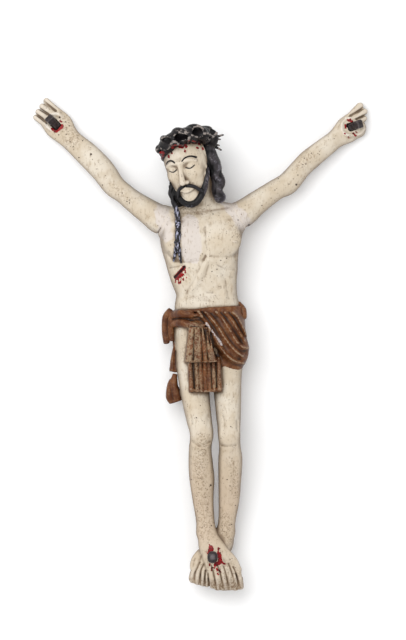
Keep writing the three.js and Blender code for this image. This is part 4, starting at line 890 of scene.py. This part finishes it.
def surface_net(clay):
    """Points and four-sided faces of the zero surface, one point in each crossed cell."""
    values = clay.values
    inside = values < 0
    count = np.zeros(np.array(values.shape) - 1, np.int8)
    for bits in range(8):
        i, j, k = corner(bits)
        nx, ny, nz = count.shape
        count += inside[i:i + nx, j:j + ny, k:k + nz]
    mixed = (count > 0) & (count < 8)
    cells = np.argwhere(mixed)
    index = np.full(mixed.shape, -1, np.int32)
    index[mixed] = np.arange(len(cells))
    total = np.zeros((len(cells), 3))
    crossings = np.zeros(len(cells))
    for first, second in EDGES:
        a, b = corner(first), corner(second)
        va = values[tuple((cells + a).T)]
        vb = values[tuple((cells + b).T)]
        crossed = (va < 0) != (vb < 0)
        share = np.where(crossed, va / np.where(crossed, va - vb, 1), 0)
        total += np.where(crossed[:, None], a + share[:, None] * (b - a), 0)
        crossings += crossed
    points = cells + total / crossings[:, None]
    quads = []
    for axis in range(3):
        change = inside != np.roll(inside, -1, axis)
        edge = [slice(1, -1)] * 3
        edge[axis] = slice(0, -1)
        nodes = np.argwhere(change[tuple(edge)]) + np.array([s.start for s in edge])
        u, v = (axis + 1) % 3, (axis + 2) % 3
        ring = []
        for du, dv in ((0, 0), (-1, 0), (-1, -1), (0, -1)):
            at = nodes.copy()
            at[:, u] += du
            at[:, v] += dv
            ring.append(index[tuple(at.T)])
        ring = np.array(ring).T
        outward = inside[tuple(nodes.T)]
        ring[~outward] = ring[~outward][:, ::-1]
        quads.append(ring)
    return clay.low + clay.cell * points, np.concatenate(quads)


def sampled(clay, grid, points):
    """Values of a grid at points, by the cell's eight corners."""
    place = np.clip((points - clay.low) / clay.cell, 0, np.array(grid.shape) - 1.001)
    base = np.floor(place).astype(int)
    share = place - base
    result = 0
    for bits in range(8):
        at = corner(bits)
        weight = np.prod(np.where(at, share, 1 - share), axis=1)
        result = result + weight * grid[tuple((base + at).T)]
    return result


def blurred(grid, reach, times):
    """A grid evened out by running means along each axis."""
    result = grid
    width = 2 * reach + 1
    for axis in range(3):
        for _ in range(times):
            margins = [(reach + 1, reach) if k == axis else (0, 0) for k in range(3)]
            padded = np.pad(result, margins, mode="edge")
            running = np.moveaxis(np.cumsum(padded, axis=axis, dtype=np.float32), axis, 0)
            result = np.moveaxis((running[width:] - running[:-width]) / width, 0, axis)
    return result


def largest_part(points, faces):
    """The faces that hang together with most others, so that no crumb or closed hollow stays.

    An edge joins its faces only if it has two of them.
    """
    ends = np.sort(np.stack([faces, np.roll(faces, -1, axis=1)], axis=2).astype(np.int64), axis=2)
    keys = ends[..., 0] * len(points) + ends[..., 1]
    _, edges, shared = np.unique(keys, return_inverse=True, return_counts=True)
    edges = edges.reshape(faces.shape)
    lone = shared[edges] != 2
    edges[lone] = len(shared) + np.arange(lone.sum())
    labels = np.arange(len(shared) + lone.sum())
    while True:
        lowest = labels[edges].min(axis=1)
        fresh = labels.copy()
        for column in edges.T:
            np.minimum.at(fresh, column, lowest)
        fresh = fresh[fresh]
        if np.array_equal(fresh, labels):
            break
        labels = fresh
    part = labels[edges].min(axis=1)
    faces = faces[part == np.bincount(part).argmax()]
    used, renumbered = np.unique(faces, return_inverse=True)
    return points[used], renumbered.reshape(faces.shape)


def mesh_of(name, points, faces, triangles=None):
    points, faces = largest_part(points, faces)
    mesh = bpy.data.meshes.new(name)
    mesh.vertices.add(len(points))
    mesh.vertices.foreach_set("co", (points * SQUARE).astype(np.float32).ravel())
    mesh.loops.add(faces.size)
    mesh.loops.foreach_set("vertex_index", faces.astype(np.int32).ravel())
    mesh.polygons.add(len(faces))
    mesh.polygons.foreach_set("loop_start", np.arange(0, faces.size, 4, dtype=np.int32))
    mesh.update(calc_edges=True)
    piece = bpy.data.objects.new(name, mesh)
    bpy.context.collection.objects.link(piece)
    if triangles and 2 * len(faces) > triangles:
        fewer = piece.modifiers.new("fewer", "DECIMATE")
        fewer.ratio = triangles / (2 * len(faces))
        seen = piece.evaluated_get(bpy.context.evaluated_depsgraph_get())
        piece.data = bpy.data.meshes.new_from_object(seen)
        piece.modifiers.clear()
        piece.data.name = name
    piece.data.shade_smooth()
    return piece


def read_points(piece, field, scale=1.0):
    flat = np.empty(3 * len(piece.data.vertices), np.float32)
    piece.data.vertices.foreach_get(field, flat)
    return flat.reshape(-1, 3).astype(float) / scale


def give(piece, name, values):
    field = piece.data.attributes.new(name, "FLOAT", "POINT")
    field.data.foreach_set("value", np.asarray(values, np.float32))


# Paint marks seen from the front, in squares: strips from x, y to x, y with a half width

BLOOD_MARKS = [
    [0.98, -20.9, 1.05, -20.45, 0.27], [1, -20.5, 0.9, -20.1, 0.07], [0.85, -21, 0.62, -20.85, 0.14],
    [1.85, -21, 1.98, -21.75, 0.2], [1.72, -20.95, 1.78, -20.4, 0.07], [1.8, -20.6, 1.95, -20.45, 0.05],
    [1.5, -22.1, 1.9, -21.9, 0.2], [2.1, -21.8, 2.42, -22.05, 0.09], [0.95, -22, 0.9, -22.2, 0.08],
    [1.1, -22.45, 1.1, -22.7, 0.07], [1.25, -22.4, 1.45, -22.45, 0.07], [1.63, -22.5, 1.68, -22.65, 0.1],
    [1.75, -22.6, 2.05, -22.85, 0.07], [1.68, -22.95, 1.8, -23.1, 0.07],
    [-14.5, 21.35, -13.95, 21.75, 0.25], [-14.9, 21.5, -14.6, 21.35, 0.12],
    [-14.1, 22.3, -13.9, 22.2, 0.08], [14.75, 22.4, 15.2, 22.25, 0.1], [14.85, 22.35, 15, 22.4, 0.13],
    [14.5, 21.9, 14.55, 21.6, 0.1], [15.3, 21.05, 15.55, 20.8, 0.1], [14.45, 21.05, 14.5, 20.98, 0.08],
    [14.8, 20.68, 14.85, 20.6, 0.07], [15.55, 21.25, 15.65, 21.15, 0.07], [-2.5, 6.65, -1.65, 7.6, 0.19],
    [-2.5, 6.7, -2.5, 6.1, 0.07], [-2.2, 6.8, -2.2, 5.9, 0.06], [-1.95, 7.1, -1.95, 6.3, 0.06],
    [-1.55, 7.4, -1.49, 7, 0.07], [-2.4, 6.45, -1.75, 6.9, 0.13], [-2.4, 5.9, -2.35, 5.82, 0.06],
    [-1.42, 6.65, -1.4, 6.58, 0.06], [-2.05, 6.2, -2, 6, 0.08], [-1.75, 6.5, -1.7, 6.3, 0.08],
    [-2.1, 5.65, -2.05, 5.6, 0.07], [-4.15, 18.4, -3.85, 18.95, 0.25], [-3.2, 18.7, -3.13, 18.6, 0.11],
    [-3.2, 18.75, -3.2, 18.65, 0.11], [-2.86, 19.05, -2.86, 18.98, 0.09], [-2.8, 19.6, -2.5, 19.7, 0.16],
    [-2.1, 19.65, -1.8, 19.6, 0.16], [-1.5, 19.75, -1.4, 19.65, 0.14], [-1.15, 20.15, -1.1, 20, 0.12],
    [-0.8, 20.1, -0.5, 20.05, 0.14], [-0.2, 20.05, -0.1, 19.9, 0.14], [-1.55, 19.25, -1.55, 19.15, 0.11],
    [-0.35, 19.55, -0.25, 19.5, 0.11], [0.2, 19.5, 0.25, 19.4, 0.1],
]

FILLER_MARKS = [
    [-3.9, 13.2, -3.4, 10.9, 0.75], [-1.1, 11.9, -0.9, 8.9, 0.95], [3.1, 13.7, 4.4, 11.9, 0.7],
    [2.5, 14, 3.2, 13.4, 0.5],
]
CHALK_MARKS = [
    [-14.9, 23, -14.25, 23, 0.1], [-15.5, 21.85, -14.95, 21.4, 0.12], [14.2, 22, 14.2, 21.4, 0.1],
    [14.35, 21.1, 14.75, 20.9, 0.12], [15, 22.65, 14.5, 22.55, 0.07], [0.6, 2, 0.8, 1.75, 0.1],
    [0.8, 1.75, 1.2, 1.2, 0.05], [1.2, 1.2, 1.65, 0.6, 0.07], [1.7, 0.5, 2.1, -0.1, 0.1],
]
# Worn places; the last two strips are painted shadow under the beard and beside it on the neck
WEAR_AND_SHADE_MARKS = [
    [0.3, -9.5, 0.1, -11.5, 0.7], [-0.2, -11.5, 0.2, -15.5, 0.7], [3.2, -12, 3.5, -15, 0.5],
    [0.4, -16.5, 0.5, -19, 0.8], [2.4, -17.5, 2.6, -19.5, 0.7], [1.4, -22, 3.8, -23.6, 0.9],
    [-0.9, -23.5, 1, -24.1, 0.35], [1.4, -24.3, 4.1, -24.3, 0.4], [-12.8, 20.6, -13.6, 21.9, 0.9],
    [-7, 14.2, -9, 16, 0.3], [2.9, 12.2, 3.9, 10.5, 0.35], [-1.2, 4.6, 1.8, 4.5, 0.2],
    [10, 17.9, 11, 18.8, 0.5], [-0.6, 1.2, -1, -1.4, 0.9], [0.8, 0.6, 0.9, -1.4, 0.3],
    [-0.5, -2.3, -0.3, -4.4, 0.4], [1.4, -2.5, 1.5, -4.3, 0.35], [-1.5, 13.35, 0.4, 13.2, 0.5],
    [1.2, 15.7, 1.5, 14.6, 0.45],
]

# Painted brows and closed lids, in the head's own frame
INK_MARKS = [
    ([[0.4, 0.66], [0.66, 0.86], [1, 0.92], [1.34, 0.83], [1.64, 0.6]], 0.075),
    ([[0.5, -0.1], [0.92, -0.27], [1.36, -0.08]], 0.06),
]
NO_MARK = 9.0
TOP_FROM, TOP_RADIUS = 0.3, 2.0
CROWN_MIDDLE, CROWN_ZONE = 2.35, 0.85


def strips_gap(rows, x, y):
    """Distance to the nearest strip, less its half width."""
    gap = np.full(np.shape(x), NO_MARK)
    for ax, ay, bx, by, half in rows:
        gap = np.minimum(gap, line_distance(np.array([[ax, ay], [bx, by]]), x, y) - half)
    return gap


def ink_gap(places):
    x, y, z = seen_in(HEAD_FRAME, *places.T)
    gap = np.full(len(places), NO_MARK)
    for line, half in INK_MARKS:
        gap = np.minimum(gap, line_distance(threaded(line, 6), np.abs(x), y) - half)
    return np.where((z > 0.9) & (np.abs(places[:, 1] - 18) < 4), gap, NO_MARK)


def top_of_head(places):
    """Distance to the space inside the crown, where the head is painted as hair."""
    x, y, z = seen_in(CROWN_FRAME, *places.T)
    return np.maximum(TOP_FROM - y, np.hypot(x, z) - TOP_RADIUS)


def crown_zone(places):
    """Distance to the ring that is painted with the crown, hollows and all."""
    x, y, z = seen_in(CROWN_FRAME, *places.T)
    return np.hypot(np.hypot(x, z) - CROWN_MIDDLE, y) - CROWN_ZONE


def painted_piece(name, node, clay, triangles=None):
    points, faces = surface_net(clay)
    piece = mesh_of(name, points, faces, triangles)
    places = read_points(piece, "co", SQUARE)
    front = read_points(piece, "normal")[:, 2] > 0.05
    x, y = places[:, 0], places[:, 1]
    near = {kind: sampled(clay, grid, places) for kind, grid in clay.kinds.items()}
    near["crown"] = np.minimum(near["crown"], crown_zone(places))
    near["hair"] = np.minimum(near["hair"], top_of_head(places))
    for kind in ("hair", "crown", "cloth"):
        others = np.min([gap for other, gap in near.items() if other != kind], axis=0)
        give(piece, kind + "_gap", np.clip(near[kind] - others, -2, 2) / 2 / MM)
    limited = np.clip(clay.values, -1.2, 1.2)
    small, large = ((2, 6))
    for field, reach in (("cavity", small), ("hollow", large)):
        give(piece, field, -sampled(clay, blurred(limited, reach, 2), places) / clay.cell)
    marks = {"blood": BLOOD_MARKS, "filler": FILLER_MARKS, "chalk": CHALK_MARKS, "wear_and_shade": WEAR_AND_SHADE_MARKS}
    for field, strips in marks.items():
        give(piece, field + "_gap", np.where(front, strips_gap(strips, x, y), NO_MARK) / MM)
    give(piece, "ink_gap", ink_gap(places) / MM)
    piece.data.materials.append(painted_wood)
    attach(piece, "root")
    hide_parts(node)


def iron_piece(name, node, clay):
    points, faces = surface_net(clay)
    piece = mesh_of(name, points, faces)
    places = read_points(piece, "co", SQUARE)
    give(piece, "cavity", -sampled(clay, blurred(np.clip(clay.values, -1, 1), 3, 2), places) / clay.cell)
    piece.data.materials.append(nail_iron)
    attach(piece, "root")
    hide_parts(node)


# Materials


def paint(red, green, blue):
    """A colour from its screen values."""
    shares = [v / 255 for v in (red, green, blue)]
    return (*(((v + 0.055) / 1.055) ** 2.4 if v > 0.04 else v / 12.92 for v in shares), 1)


class Shade:
    """Short calls for the nodes of one material; positions are in metres."""

    def __init__(self, name):
        self.material = bpy.data.materials.new(name)
        self.material.use_nodes = True
        self.tree = self.material.node_tree
        self.tree.nodes.clear()
        self.place = self.tree.nodes.new("ShaderNodeTexCoord").outputs["Object"]

    def node(self, kind, inputs, **settings):
        made = self.tree.nodes.new(kind)
        for key, value in settings.items():
            setattr(made, key, value)
        for key, value in inputs.items():
            if isinstance(value, bpy.types.NodeSocket):
                self.tree.links.new(value, made.inputs[key])
            else:
                made.inputs[key].default_value = value
        return made

    def math(self, operation, first, second):
        return self.node("ShaderNodeMath", {0: first, 1: second}, operation=operation).outputs[0]

    def add(self, first, second):
        return self.math("ADD", first, second)

    def less(self, first, second):
        return self.math("SUBTRACT", first, second)

    def times(self, first, second):
        return self.math("MULTIPLY", first, second)

    def most(self, first, second):
        return self.math("MAXIMUM", first, second)

    def ragged(self, value, noise, amount):
        """A value that noise makes uneven."""
        return self.add(value, self.times(self.add(noise, -0.5), amount))

    def spread(self, value, low, high, to_low=0.0, to_high=1.0):
        """Eases from one number to another as the value goes from low to high."""
        made = self.node("ShaderNodeMapRange", {0: value, 1: low, 2: high, 3: to_low, 4: to_high},
                         interpolation_type="SMOOTHSTEP")
        return made.outputs[0]

    def blend(self, share, first, second):
        return self.node("ShaderNodeMix", {0: share, 6: first, 7: second}, data_type="RGBA").outputs[2]

    def coated(self, colour, coats):
        """A colour with more paint on it, each as its share and its screen values."""
        for share, screen in coats:
            colour = self.blend(share, colour, paint(*screen))
        return colour

    def value_of(self, name):
        return self.node("ShaderNodeAttribute", {}, attribute_name=name).outputs["Fac"]

    def moved(self, scale, shift=(0, 0, 0)):
        made = self.node("ShaderNodeMapping", {"Vector": self.place, "Location": shift, "Scale": scale})
        return made.outputs[0]

    def noise(self, scale, detail=3.0, stretch=(1, 1, 1), shift=(0, 0, 0)):
        inputs = {"Vector": self.moved(stretch, shift), "Scale": scale, "Detail": detail}
        return self.node("ShaderNodeTexNoise", inputs).outputs[0]

    def cells(self, scale, shift=(0, 0, 0)):
        inputs = {"Vector": self.moved((1, 1, 1), shift), "Scale": scale}
        made = self.node("ShaderNodeTexVoronoi", inputs)
        chance = self.node("ShaderNodeSeparateColor", {0: made.outputs["Color"]}).outputs[0]
        return made.outputs["Distance"], chance

    def finish(self, colour, roughness, height, bump, **sockets):
        bumped = self.node("ShaderNodeBump", {"Strength": 1.0, "Distance": bump, "Height": height}).outputs[0]
        inputs = {"Base Color": colour, "Roughness": roughness, "Normal": bumped}
        inputs.update({key.replace("_", " "): value for key, value in sockets.items()})
        shader = self.node("ShaderNodeBsdfPrincipled", inputs)
        self.node("ShaderNodeOutputMaterial", {0: shader.outputs[0]})
        return self.material


# Woodworm holes by x, y, in squares
HOLES = [
    [11.1, 19.05], [10.4, 18.55], [10.25, 17.9], [10.55, 17.95], [9.75, 16.85], [7.8, 16.5], [8.85, 15.95],
    [6.15, 13.8], [7.45, 15.35], [1.15, 7.2], [1.65, 7.4], [2.03, 8.3], [2.6, 8.52], [1.25, 12.95],
    [3.75, 12.35], [1.1, -18.2], [-0.28, -16.75], [3.03, -8.29], [2.66, -13.6], [3.5, -16.2], [3.12, -18.1],
    [-0.93, -13.6], [-0.4, -7.4], [-11.8, 20.3], [-9.8, 15.85], [-7.36, 14.2], [-7.1, 14.05],
    [-7.08, 14.35], [-13.5, 22.2], [-13.15, 21.8], [-13.45, 20.95], [-14.2, 20.9], [-13.05, 20.2],
    [-12.75, 19.7], [-12.2, 18.6],
]
HOLE_HALF = 0.00065
CHIPS = [[-14.12, 22.65], [-15.42, 22.03], [4.85, 11.85], [1.03, -14.17], [-10.96, 18.94], [9.6, 15.9]]
CHIP_HALF = 0.0012


def painted_wood_material():
    s = Shade("painted_wood")
    broad = s.noise(28, 4, shift=(3, 1, 7))
    middle = s.noise(95, 4, shift=(1, 5, 2))
    fine = s.noise(420, 4, shift=(6, 2, 4))
    grain = s.noise(260, 3, stretch=(1.6, 0.45, 1.6), shift=(2, 2, 9))
    cavity = s.value_of("cavity")
    hollow = s.value_of("hollow")
    # Wear, and painted shadow under and beside the beard, from the marks
    wear_and_shade = s.spread(s.value_of("wear_and_shade_gap"), 5, -5)
    across, along, _ = s.node("ShaderNodeSeparateXYZ", {0: s.place}).outputs
    normal = s.node("ShaderNodeNewGeometry", {}).outputs["Normal"]
    facing = s.node("ShaderNodeSeparateXYZ", {0: normal}).outputs[2]

    # Skin
    filler = s.ragged(s.value_of("filler_gap"), middle, 14)
    legs = s.times(s.spread(along, -0.09, -0.19), s.spread(broad, 0.2, 0.75, 0.45, 0.85))
    legs = s.times(legs, s.spread(along, -0.27, -0.235, 0.45, 1))
    toe_tips = s.times(s.spread(along, -0.289, -0.303), s.spread(fine, 0.35, 0.6, 0.35, 0.85))
    skin = s.blend(s.spread(broad, 0.35, 0.65), paint(197, 183, 162), paint(209, 199, 183))
    skin = s.coated(skin, [
        (s.spread(middle, 0.45, 0.7, 0, 0.45), (182, 165, 140)),  # yellowed patches
        (legs, (188, 167, 143)),
        (s.spread(filler, 1.5, -1.5, 0, 0.8), (204, 195, 189)),  # fillings
        (s.spread(s.ragged(cavity, middle, 1), 0.05, 0.75, 0, 0.8), (100, 78, 58)),  # dust and painted shade in grooves
        (s.spread(s.ragged(hollow, broad, 1.5), 0.2, 3.2, 0, 0.6), (118, 96, 74)),  # dirt and painted shade in wider hollows
        (s.spread(s.ragged(facing, middle, 0.4), 0.78, 0.08, 0, 0.8), (94, 74, 55)),  # painted shade and grime where the surface turns to the side
        (s.times(wear_and_shade, s.spread(fine, 0.46, 0.64, 0, 0.5)), (126, 103, 80)),  # worn places, and painted shadow under and beside the beard
        (s.spread(grain, 0.55, 0.7, 0, 0.45), (150, 130, 106)),  # scuffs
        (toe_tips, (112, 88, 64)),
        (s.spread(cavity, -0.25, -0.9, 0, 0.5), (211, 200, 186)),  # painted highlight on ridges
    ])

    # Pits in clusters and woodworm holes
    near, chance = s.cells(430, (1, 1, 1))
    clustered = s.add(s.times(wear_and_shade, 0.24), s.spread(middle, 0.45, 0.75, 0, 0.12))
    chosen = s.math("GREATER_THAN", s.add(chance, clustered), 0.95)
    pits = s.times(s.spread(s.ragged(near, fine, 0.5), 0.34, 0.16), chosen)
    tiny, tiny_chance = s.cells(900, (4, 2, 8))
    pits = s.most(pits, s.times(s.spread(tiny, 0.4, 0.25), s.math("GREATER_THAN", tiny_chance, 0.965)))
    flat = s.node("ShaderNodeCombineXYZ", {0: across, 1: along}).outputs[0]
    holes = None
    for rows, half in ((HOLES, HOLE_HALF), (CHIPS, CHIP_HALF)):
        for x, y in rows:
            spot = (x * SQUARE, y * SQUARE, 0)
            gap = s.node("ShaderNodeVectorMath", {0: flat, 1: spot}, operation="DISTANCE")
            share = s.times(gap.outputs["Value"], 1 / half)
            holes = share if holes is None else s.math("MINIMUM", holes, share)
    holes = s.times(s.spread(s.ragged(holes, fine, 0.8), 1.25, 0.8), s.spread(facing, 0.05, 0.2))
    skin = s.coated(skin, [(s.times(pits, 0.7), (94, 70, 50)), (s.times(holes, 0.9), (58, 40, 30))])

    # Hair, beard and crown
    beside = s.spread(across, 0, 0.008, 0.08, 0.7)
    streaks = s.noise(500, 2, stretch=(1.5, 0.25, 1.5), shift=(7, 7, 1))
    strand = s.times(s.spread(along, 0.173, 0.168), s.spread(streaks, 0.54, 0.6))
    hair = s.blend(s.spread(middle, 0.35, 0.7), paint(40, 36, 39), paint(62, 56, 59))
    hair = s.coated(hair, [
        (s.spread(beside, 0.7, 0.3, 0, 0.9), (8, 7, 8)),  # all but the lock beside the face
        (s.times(s.spread(s.ragged(cavity, fine, -1.6), -0.4, -0.85), beside), (108, 104, 112)),  # worn paint and painted highlight on ridges
        (s.times(strand, s.spread(cavity, 0, -0.4)), (160, 160, 180)),  # painted highlight in streaks on the strand
        (s.spread(cavity, -0.3, 0.15), (6, 5, 6)),  # painted shade in grooves
    ])
    # Lighter rims: worn paint and painted highlight
    rim_wear_and_highlight = s.spread(s.ragged(cavity, fine, -2.4), -0.7, -1.1, 0, 0.85)
    crown = s.blend(s.spread(middle, 0.4, 0.65), paint(12, 9, 11), paint(28, 24, 25))
    crown = s.coated(crown, [
        (s.times(rim_wear_and_highlight, s.spread(cavity, -1.7, -1.3)), (148, 138, 132)),  # worn paint and painted highlight on the rims
        (s.spread(cavity, 0.1, 0.8), (7, 5, 5)),  # painted shade in grooves
    ])

    # Loincloth
    threadbare = s.times(wear_and_shade, s.spread(s.add(fine, s.times(grain, 0.5)), 0.62, 0.82, 0, 0.7))
    cloth = s.blend(s.spread(middle, 0.3, 0.7), paint(76, 40, 19), paint(112, 66, 34))
    cloth = s.coated(cloth, [
        (s.spread(s.add(fine, s.times(middle, 0.5)), 0.72, 0.95, 0, 0.5), (128, 98, 68)),  # wear
        (s.spread(s.ragged(cavity, fine, -2.2), -0.7, -1.5, 0, 0.6), (158, 136, 112)),  # worn paint and painted highlight on crests
        (threadbare, (150, 130, 104)),
        (s.spread(facing, 0.5, 0, 0, 0.6), (44, 26, 17)),  # painted shade on the sides
        (s.spread(cavity, 0.2, 0.8, 0, 0.85), (30, 16, 9)),  # painted shade in hollows
    ])
    chalk = s.ragged(s.value_of("chalk_gap"), s.noise(700, 3, shift=(5, 5, 5)), 5)
    chalky = s.spread(chalk, 0.3, -0.3, 0, 0.85)
    cloth = s.coated(cloth, [(chalky, (200, 190, 188))])
    skin = s.coated(skin, [(chalky, (220, 212, 200))])

    # Borders between the paints, a little uneven
    is_hair, is_crown, is_cloth = (s.spread(s.ragged(s.value_of(kind + "_gap"), fine, 0.5), 0.1, -0.1)
                                   for kind in ("hair", "crown", "cloth"))
    colour = s.blend(is_hair, skin, hair)
    colour = s.blend(is_crown, colour, crown)
    colour = s.blend(is_cloth, colour, cloth)
    ink = s.times(s.spread(s.ragged(s.value_of("ink_gap"), fine, 0.5), 0.15, -0.1), s.less(1, is_hair))
    colour = s.coated(colour, [(ink, (26, 22, 24))])
    blood_edge = s.ragged(s.value_of("blood_gap"), s.noise(600, 2, shift=(8, 8, 8)), 2.2)
    blood = s.times(s.spread(blood_edge, 0.2, -0.1), s.less(1, is_cloth))
    blood = s.times(blood, s.spread(facing, 0.2, 0.45))
    red = s.blend(s.spread(fine, 0.35, 0.65), paint(84, 5, 8), paint(150, 14, 18))
    # Blood darker in hollows: painted shade
    red = s.coated(red, [(s.spread(cavity, 0.2, 0.6), (30, 3, 4))])
    colour = s.blend(blood, colour, red)

    dark = s.most(is_hair, s.most(is_crown, is_cloth))
    roughness = s.add(s.times(fine, 0.2), s.spread(dark, 0, 1, 0.42, 0.3))
    roughness = s.less(roughness, s.times(blood, 0.2))
    height = s.add(s.add(s.times(fine, 0.0002), s.times(middle, 0.0007)), s.times(grain, 0.0004))
    sunk = s.times(s.most(s.times(pits, 0.0005), s.times(holes, 0.0012)), s.less(1, dark))
    return s.finish(colour, roughness, s.less(height, sunk), 1.0, Specular_IOR_Level=0.22)


def nail_iron_material():
    s = Shade("nail_iron")
    middle = s.noise(300, 4)
    fine = s.noise(1100, 4, shift=(3, 3, 3))
    cavity = s.value_of("cavity")
    colour = s.blend(s.spread(middle, 0.35, 0.65), paint(20, 15, 17), paint(44, 35, 36))
    colour = s.coated(colour, [
        (s.spread(s.ragged(cavity, fine, -2), -0.5, -2, 0, 0.7), (118, 110, 112)),  # painted highlight on edges
        (s.spread(fine, 0.55, 0.7, 0, 0.5), (84, 50, 36)),  # rust
    ])
    roughness = s.add(0.38, s.times(fine, 0.3))
    height = s.add(s.times(fine, 0.00025), s.times(middle, 0.0006))
    return s.finish(colour, roughness, height, 1.0, Metallic=0.3)


painted_wood = painted_wood_material()
nail_iron = nail_iron_material()


# The pieces

# Corners of the space that each piece is carved in
BODY_BOX = ([-5.2, -25.4, -0.4], [5.5, 22.6, 9.0])
RIGHT_ARM_BOX = ([-17.3, 9.6, -0.4], [-2.2, 25.2, 5.4])
LEFT_ARM_BOX = ([2.2, 9.8, -0.4], [17.3, 25.2, 5.4])

body_clay = carve_figure(*BODY_BOX, WOOD_CELL)
part_at(body_clay, RIGHT_SEAM, -1)
part_at(body_clay, LEFT_SEAM, -1)
stand_on_ground(body_clay)
painted_piece("carved_body", "corpus_body", body_clay, BODY_TRIANGLES)
del body_clay
for side, outline, corners in (("right", RIGHT_SEAM, RIGHT_ARM_BOX), ("left", LEFT_SEAM, LEFT_ARM_BOX)):
    arm_clay = carve_figure(*corners, WOOD_CELL)
    part_at(arm_clay, outline, 1)
    stand_on_ground(arm_clay)
    painted_piece("carved_" + side + "_arm", side + "_arm", arm_clay)
for seed, (name, point, head, half) in enumerate(HAND_NAILS):
    iron_piece("forged_" + name, name, bar_nail(point, head, half, seed + 3))
iron_piece("forged_feet_nail", "feet_nail", foot_nail())


# Floor, light and camera

ROOM_LIGHT = 0.88
CAMERA_AIM = (0.0031, 0.0294, 0.04)
VIEW_HEIGHT = 0.8  # metres of the figure's plane that fill the picture from bottom to top


def add_floor():
    bpy.ops.mesh.primitive_plane_add(size=6)
    floor = bpy.context.object
    floor.name = "floor"
    s = Shade("floor_paper")
    floor.data.materials.append(s.finish(paint(251, 251, 251), 0.9, s.noise(900, 2), 0.00002))


def add_light(name, place, size, power):
    light = bpy.data.lights.new(name, "AREA")
    light.shape = "DISK"
    light.size = size
    light.energy = power
    lamp = bpy.data.objects.new(name, light)
    lamp.location = place
    lamp.rotation_euler = (-Vector(place)).to_track_quat("-Z", "Y").to_euler()
    bpy.context.collection.objects.link(lamp)


add_floor()
add_light("soft_light", (-0.6, 0.6, 1.9), 1.8, 24)
world = bpy.data.worlds.new("room")
world.use_nodes = True
world.node_tree.nodes["Background"].inputs[0].default_value = (1, 1, 1, 1)
world.node_tree.nodes["Background"].inputs[1].default_value = ROOM_LIGHT
bpy.context.scene.world = world
bpy.context.scene.view_settings.view_transform = "Standard"

camera = bpy.data.objects.new("camera", bpy.data.cameras.new("camera"))
camera.data.sensor_fit = "VERTICAL"
camera.data.sensor_height = 36
camera.data.lens = 700
across, along, up = CAMERA_AIM
camera.location = (across, along, up + VIEW_HEIGHT * camera.data.lens / camera.data.sensor_height)
bpy.context.collection.objects.link(camera)
bpy.context.scene.camera = camera
